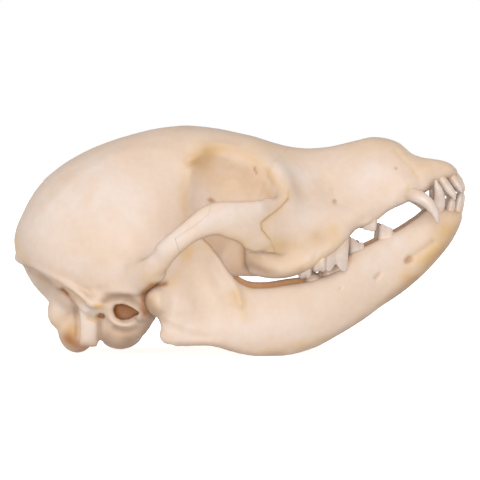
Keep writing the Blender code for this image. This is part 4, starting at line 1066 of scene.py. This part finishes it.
def bone_material(name, colours):
    """Dry bone: pink and ivory patches, fine mottling, painted shade in hollows and from marks, stain by
    seams, tiny pores.
    """
    material, tree, place, shader = new_material(name)
    base = mixed(tree, read_attribute(tree, "rosy"), colours.ivory, colours.pale)
    patches = ranged(tree, noise(tree, place, 60, 3, 0.5, 0.3), 0.35, 0.65, 0, 0.3)
    clouds = ranged(tree, noise(tree, place, 130, 4, 0.6, 0.4), 0.54, 0.80, 0, 0.2)
    # Painted shade that darkens the hollows.
    hollow_shade = ranged(tree, read_attribute(tree, "hollow"), 0.04, 0.85, 0, 0.42)
    for amount, colour in ((patches, colours.pale), (clouds, colours.stain), (hollow_shade, colours.hollow)):
        base = mixed(tree, amount, base, colour)
    # Marks: the tongue side's orange, partly painted light; stain, in places painted shade; painted shade;
    # and brown, mostly painted shade.
    marks = {
        "inner": colours.inside, "stain": colours.stain, "shade": colours.shade, "brown": colours.brown,
    }
    for mark, colour in marks.items():
        base = mixed(tree, read_attribute(tree, mark), base, colour)
    grain = ranged(tree, noise(tree, place, 420, 4, 0.6), 0.3, 0.7, 0.98, 1.02)
    pores = add_node(
        tree, "ShaderNodeTexVoronoi", {"Vector": place, "Scale": 650}, feature="F1", distance="EUCLIDEAN")
    dents = ranged(tree, pores.outputs["Distance"], 0, 0.35)
    fine = bump(tree, noise(tree, place, 900, 4, 0.6), 0.25, 0.00006)
    set_inputs(tree, shader, {
        "Base Color": speckled(tree, base, grain),
        "Roughness": ranged(tree, noise(tree, place, 210), 0.3, 0.7, 0.44, 0.58),
        "Normal": bump(tree, dents, 0.12, 0.00005, Normal=fine),
        "Subsurface Weight": 0.12, "Subsurface Radius": (1, 0.45, 0.22), "Subsurface Scale": 0.0022,
        "Specular IOR Level": 0.32,
    })
    return material


def enamel_material(name, colours):
    """Tooth crowns: greyish white with faint clouds, yellower at the neck, smooth."""
    material, tree, place, shader = new_material(name)
    neck = ranged(tree, read_attribute(tree, "neck"), 0.15, 0.95)
    cloud = ranged(tree, noise(tree, place, 420), 0.3, 0.75, 0.94, 1.05)
    set_inputs(tree, shader, {
        "Base Color": speckled(tree, mixed(tree, neck, colours.enamel, colours.neck), cloud),
        "Roughness": ranged(tree, noise(tree, place, 600, 2), 0.3, 0.7, 0.34, 0.48),
        "Normal": bump(tree, noise(tree, place, 700, 2), 0.15, 0.00005),
        "Subsurface Weight": 0.2, "Subsurface Radius": (1, 0.7, 0.5), "Subsurface Scale": 0.001,
    })
    return material


def floor_material(colours, glow):
    """Pale board, lit a little from below, with a faint grain that shows only close by."""
    material, tree, place, shader = new_material("studio_floor")
    darker = tuple(0.985 * channel for channel in colours.floor)
    set_inputs(tree, shader, {
        "Base Color": mixed(tree, noise(tree, place, 60), colours.floor, darker),
        "Roughness": 0.9, "Specular IOR Level": 0,
        "Emission Color": colours.floor, "Emission Strength": glow,
    })
    return material


def braincase_rings():
    """The domed braincase between the top and base lines."""
    x, wide = sampled(CASE_PLAN)
    (top,), (base,) = columns(TOP_LINE, x), columns(BASE_LINE, x)
    top = top - UNDER_TOP
    level = np.clip(CASE_LEVEL, base + 0.3 * (top - base), top - 0.3 * (top - base))
    high, low = CASE_TOP_SHARE * wide, CASE_BASE_SHARE * wide
    return upright_rings(x, top, base, high, wide, low, power=2.4, level=level)


def face_rings():
    """The brow and the muzzle down to the gum line."""
    x, bottom, high, middle, low = sampled(FACE)
    top = columns(TOP_LINE, x)[0] - UNDER_TOP - 0.7 * (1 - fade(x, -25, -8))
    return upright_rings(x, top, bottom, high, middle, low, power=3)


def margin_rings(side):
    """The ridge of bone that holds one side's upper teeth."""
    x, bottom, y, wide = sampled(UPPER_MARGIN)
    top = np.minimum(bottom + MARGIN_HEIGHT, columns(TOP_LINE, x)[0] - MARGIN_COVER)
    return upright_rings(x, top, bottom, wide, wide, wide, side * y, 3)


def muzzle_side_rings(side):
    """The smooth wall over one side's cheek teeth, out from a plane inside the muzzle."""
    x, bottom, top, *widths = sampled(MUZZLE_SIDE)
    low, middle, high = (width - MUZZLE_MIDDLE for width in widths)
    return upright_rings(x, top, bottom, high, middle, low, side * MUZZLE_MIDDLE, 3.6)


def eggs(table):
    """The rounded forms of a table, on both sides where they don't lie on the midline."""
    return [egg_rings((x, side * y, z), radii, turn)
            for (x, y, z), radii, turn in table.values() for side in (SIDES if y else (1,))]


def tubes(*routes, power=2.2):
    """Tubes on both sides, or one where the route lies on the midline."""
    return [tube_rings(route, side, power)
            for route in routes for side in (SIDES if route[-1][1] else (1,))]


def nuchal_slab():
    """What lies under the slope below the nuchal crest."""
    slope, along, depth = math.radians(NUCHAL_SLOPE), 25, 40
    x = TOP_LINE[0][0] + along * math.cos(slope) - depth / 2 * math.sin(slope)
    z = NUCHAL_TOP - along * math.sin(slope) - depth / 2 * math.cos(slope)
    return slab_rings((x, 0, z), (66, 90, depth), NUCHAL_SLOPE)


def later_growth():
    """What grows on the block once its eye sockets are cut: occiput, arches, crest, ears, wings."""
    thin = (ARCH_FILLET, ORBIT_FRONT, NUCHAL_CREST, EAR_LIP, EAR_BRIDGE, PALATE_WING, SKULL_FLOOR)
    return eggs(SWELLINGS) + tubes(*thin) + tubes(ARCH, power=2.4) + tubes(NECK_PLATE, power=3.6)


def later_hollows():
    """Jaw sockets, canine notches, nose, palate, throat and the hole for the spinal cord."""
    return tubes(NOSE_HOLLOW, PALATE_HOLLOW, THROAT_HOLLOW, NECK_HOLLOW) + eggs(NOTCHES)


def small_hollows():
    """Ear canals and the small hole behind each ear."""
    return [prism_rings(EAR_OPENING, *(side * y for y in EAR_REACH)) for side in SIDES] + eggs(SMALL_HOLES)


def grown_outline(outline, distance):
    """A side-view outline moved outwards: each corner goes along the sum of its sides' normals."""
    points = np.array(outline, float)
    along = np.roll(points, -1, axis=0) - points
    along /= np.linalg.norm(along, axis=1)[:, None]
    normal = np.stack([along[:, 1], -along[:, 0]], axis=1)
    before = np.roll(along, 1, axis=0)
    turn = (before[:, 0] * along[:, 1] - before[:, 1] * along[:, 0]).sum()
    corner = normal + np.roll(normal, 1, axis=0)
    corner /= (corner * normal).sum(axis=1)[:, None]
    return points + math.copysign(distance, turn) * corner


def crown_rings(y, half, keen, root, edge, up, side):
    """A cheek tooth as upright rings along the jaw, each from the sunk root to the biting edge. At u
    from -1 to 1 along it the half-width is sqrt(1 - 0.88 u^4) of the tooth's, and less between cusps."""
    x, rim = sampled(edge, 80)
    gum = np.interp(x, (edge[0][0], edge[-1][0]), (edge[0][1], edge[-1][1]))
    tall = np.abs(rim - gum)
    u = 2 * (x - x[0]) / (x[-1] - x[0]) - 1
    plump = half * np.sqrt(1 - 0.88 * u**4) * (0.78 + 0.22 * tall / tall.max())
    base = gum - up * root
    top, bottom = np.maximum(rim, base), np.minimum(rim, base)
    high, low = (keen * plump, plump) if up > 0 else (plump, keen * plump)
    out = side * np.interp(x, (x[0], x[-1]), y)
    return upright_rings(x, top, bottom, high, plump, low, out, sides=40)


def teeth_piece(name, pegs, crowns, sides, up, gum_line):
    """All the teeth of one jaw as separate crowns, with how near the bone each point is."""
    shells = []
    for side in sides:
        shells += [tube_rings(route, side, 2, 44, 28) for route in pegs.values()]
        shells += [crown_rings(*crown, up, side) for crown in crowns.values()]
    piece = solid(name, shells)
    points = Surface(piece).points
    (level,) = columns(gum_line, points[:, 0])
    write_attribute(piece.data, "neck", 1 - fade(up * (points[:, 2] - level), -0.6, 3.2))
    return piece


def scene_values():
    """The sizes, colours and studio settings of the scene."""
    scene = bpy.context.scene
    return scene.skull_sizes, scene.skull_colours, scene.skull_studio


class SKULL_OT_cranium(bpy.types.Operator):
    """Grows the upper skull, sculpts it, and parts it into braincase, muzzle and cheek bones"""

    bl_idname = "skull.cranium"
    bl_label = "Cranium"

    def execute(self, context):
        sizes, colours, _ = scene_values()
        cell = sizes.cranium_grid
        softening = int(round(CRANIUM_SOFTENING / cell**2))
        sides = [shape(side) for side in SIDES for shape in (margin_rings, muzzle_side_rings)]
        whole = solid("cranium", [braincase_rings(), face_rings(), *sides])
        grow_together(whole, cell)
        cut(whole, solid("hollows", [*eggs(EYE_SOCKETS), nuchal_slab()]))
        whole = joined("cranium", [whole, solid("growth", later_growth())])
        grow_together(whole, cell)
        cut(whole, solid("hollows", later_hollows()))
        grow_together(whole, cell, softening)
        largest_only(whole)
        surface = Surface(whole)
        smooth_over(surface, CRANIUM_SMOOTH)
        sculpt(surface, CRANIUM_STROKES, sizes.relief)
        cut(whole, solid("small_hollows", small_hollows()))
        grow_together(whole, cell, 3)
        largest_only(whole)
        roughen(Surface(whole), sizes.unevenness, 5)

        gap = sizes.seam_gap / MM
        cheeks = []
        for side, name in SIDES.items():
            inside, outside = side * CHEEK_INSIDE, side * CHEEK_OUTSIDE
            cheek = add_object(f"cheek_bone_{name}", whole.data.copy())
            cut(cheek, flat_outline_solid("region", CHEEK_SUTURE, inside, outside), "INTERSECT")
            wider = grown_outline(CHEEK_SUTURE, gap)
            cut(whole, flat_outline_solid("region", wider, inside - side * gap, outside))
            largest_only(cheek)
            cheeks.append(cheek)
        ends = (FACE_SUTURE[-1][1], FACE_SUTURE[0][1])
        behind = grown_outline([*FACE_SUTURE, *((-CUT_ALONG, z) for z in ends)], FACE_GAP)
        ahead = [*FACE_SUTURE, *((CUT_ALONG, z) for z in ends)]
        muzzle = add_object("muzzle", whole.data.copy())
        cut(muzzle, flat_outline_solid("region", behind, -CUT_ACROSS, CUT_ACROSS))
        cut(whole, flat_outline_solid("region", ahead, -CUT_ACROSS, CUT_ACROSS))
        whole.name = "dome"
        skull_bone = bone_material("skull_bone", colours)
        cheek_bone = bone_material("cheek_bone", colours)
        for piece in (whole, muzzle, *cheeks):
            largest_only(piece)
            paint(piece, CRANIUM_ROSY, CRANIUM_STAINS_AND_SHADE, CRANIUM_SHADE, CRANIUM_DARK_SEAM_AND_SHADE)
        finish_piece(whole, ["braincase"], skull_bone)
        finish_piece(muzzle, ["rostrum"], skull_bone)
        finish_piece(cheeks[0], ["zygomatic_right"], cheek_bone)
        finish_piece(cheeks[1], ["zygomatic_left"], cheek_bone)
        return {"FINISHED"}


class SKULL_OT_jaw(bpy.types.Operator):
    """Grows and sculpts the right half of the lower jaw, and mirrors it"""

    bl_idname = "skull.jaw"
    bl_label = "Lower jaw"

    def execute(self, context):
        sizes, colours, _ = scene_values()
        x, top, bottom, y, high, middle, low = sampled(JAW, 200)
        blade = upright_rings(x, top, bottom, high, middle, low, -y, 2.4)
        right = solid("jaw_right", [blade, *(egg_rings(*egg) for egg in JAW_SWELLINGS.values())])
        grow_together(right, sizes.jaw_grid, int(round(JAW_SOFTENING / sizes.jaw_grid**2)))
        cut(right, solid("far_side", [slab_rings((30, 50 - SYMPHYSIS_GAP / 2, 30), (160, 100, 120))]))
        largest_only(right)
        surface = Surface(right)
        smooth_over(surface, JAW_SMOOTH)
        sculpt(surface, JAW_STROKES, sizes.relief)
        roughen(surface, sizes.unevenness, 8)
        floor = -SET_DOWN[2]
        cut(right, solid("floor", [slab_rings((0, 0, floor - 20), (220, 140, 40))]))
        paint(right, JAW_ROSY, JAW_STAINS_AND_SHADE, JAW_SHADE, JAW_DARK_SHADE, INNER_STAIN_AND_LIGHT)
        left = add_object("jaw_left", right.data.copy())
        points = values_of(left.data.vertices, "co", 3)
        points[:, 1] *= -1
        left.data.vertices.foreach_set("co", points.ravel())
        left.data.flip_normals()
        left.data.update()
        jaw_bone = bone_material("jaw_bone", colours)
        finish_piece(right, ["mandible_right"], jaw_bone)
        finish_piece(left, ["mandible_left"], jaw_bone)
        return {"FINISHED"}


class SKULL_OT_upper_teeth(bpy.types.Operator):
    """Sets the incisors, canines and cheek teeth of the upper jaw"""

    bl_idname = "skull.upper_teeth"
    bl_label = "Upper teeth"

    def execute(self, context):
        _, colours, _ = scene_values()
        piece = teeth_piece("upper_teeth", UPPER_PEGS, UPPER_CROWNS, SIDES, -1, UPPER_GUM)
        finish_piece(piece, ["rostrum"], enamel_material("upper_enamel", colours))
        return {"FINISHED"}


class SKULL_OT_lower_teeth(bpy.types.Operator):
    """Sets the teeth of each half of the lower jaw"""

    bl_idname = "skull.lower_teeth"
    bl_label = "Lower teeth"

    def execute(self, context):
        _, colours, _ = scene_values()
        material = enamel_material("lower_enamel", colours)
        for side, name in SIDES.items():
            piece = teeth_piece(f"lower_teeth_{name}", LOWER_PEGS, LOWER_CROWNS, (side,), 1, LOWER_GUM)
            finish_piece(piece, [f"mandible_{name}"], material)
        return {"FINISHED"}


class SKULL_OT_stage(bpy.types.Operator):
    """Lays the floor, hangs the lights and sets up the camera"""

    bl_idname = "skull.stage"
    bl_label = "Studio"

    def execute(self, context):
        _, colours, studio = scene_values()
        scene = bpy.context.scene
        mesh = bpy.data.meshes.new("studio_floor")
        reach = 30
        mesh.from_pydata([(-reach, -reach, 0), (reach, -reach, 0), (reach, reach, 0), (-reach, reach, 0)],
                         [], [(0, 1, 2, 3)])
        floor = add_object("studio_floor", mesh)
        floor.visible_diffuse = False
        mesh.materials.append(floor_material(colours, studio.floor_glow))

        aim = Vector((0, 0, studio.aim_height))
        back = Vector((0, -math.cos(studio.elevation), math.sin(studio.elevation)))
        camera = add_object("camera", bpy.data.cameras.new("camera"))
        camera.location = aim + back * studio.distance
        camera.rotation_euler = (-back).to_track_quat("-Z", "Y").to_euler()
        camera.data.sensor_width = 36
        camera.data.lens = camera.data.sensor_width * studio.distance / studio.view_width
        camera.data.clip_start = 0.01
        scene.camera = camera

        sun = bpy.data.lights.new("main_light", "SUN")
        sun.energy = studio.key
        sun.angle = 1.1
        lamp = bpy.data.lights.new("second_light", "POINT")
        lamp.energy = studio.fill * 4 * math.pi * studio.distance**2
        lamp.shadow_soft_size = 0.03
        places = ((sun, Vector((-0.25, -0.75, 0.75))), (lamp, aim + back * (studio.distance + 0.05)))
        for light, place in places:
            holder = add_object(light.name, light)
            holder.location = place
            holder.rotation_euler = (-place).to_track_quat("-Z", "Y").to_euler()

        # The room's brightness by the height of the way one looks: from below, level and overhead.
        world = bpy.data.worlds.new("studio")
        scene.world = world
        world.use_nodes = True
        tree = world.node_tree
        way = add_node(tree, "ShaderNodeTexCoord").outputs["Generated"]
        height = add_node(tree, "ShaderNodeSeparateXYZ", {0: way}).outputs["Z"]
        below = ranged(tree, height, -0.50, -0.08, studio.below, 1)
        above = ranged(tree, height, 0.12, 0.40, 1, studio.overhead)
        level = add_node(tree, "ShaderNodeMath", {0: below, 1: above}, operation="MULTIPLY").outputs[0]
        set_inputs(tree, tree.nodes["Background"], {"Color": (1, 1, 1), "Strength": level})
        scene.view_settings.view_transform = "Standard"
        scene.view_settings.look = "None"
        return {"FINISHED"}


class SKULL_PT_panel(bpy.types.Panel):
    """Sizes and colours of the skull, and a button for each piece"""

    bl_idname = "SKULL_PT_panel"
    bl_label = "Dog skull"
    bl_space_type = "VIEW_3D"
    bl_region_type = "UI"
    bl_category = "Skull"

    def draw(self, context):
        scene = context.scene
        for group in (scene.skull_sizes, scene.skull_colours, scene.skull_studio):
            box = self.layout.box()
            for name in group.__annotations__:
                box.prop(group, name)
        for operator in OPERATORS:
            self.layout.operator(operator.bl_idname)


OPERATORS = (SKULL_OT_cranium, SKULL_OT_jaw, SKULL_OT_upper_teeth, SKULL_OT_lower_teeth, SKULL_OT_stage)
CLASSES = (SkullSizes, SkullColours, SkullStudio, *OPERATORS, SKULL_PT_panel)


def register():
    """Adds the classes and the scene's settings."""
    for cls in CLASSES:
        bpy.utils.register_class(cls)
    bpy.types.Scene.skull_sizes = bpy.props.PointerProperty(type=SkullSizes)
    bpy.types.Scene.skull_colours = bpy.props.PointerProperty(type=SkullColours)
    bpy.types.Scene.skull_studio = bpy.props.PointerProperty(type=SkullStudio)


def unregister():
    """Takes them away again."""
    del bpy.types.Scene.skull_studio
    del bpy.types.Scene.skull_colours
    del bpy.types.Scene.skull_sizes
    for cls in reversed(CLASSES):
        bpy.utils.unregister_class(cls)


def main():
    """Builds every piece and the studio."""
    register()
    bpy.ops.skull.cranium()
    bpy.ops.skull.jaw()
    bpy.ops.skull.upper_teeth()
    bpy.ops.skull.lower_teeth()
    bpy.ops.skull.stage()


if __name__ == "__main__":
    main()
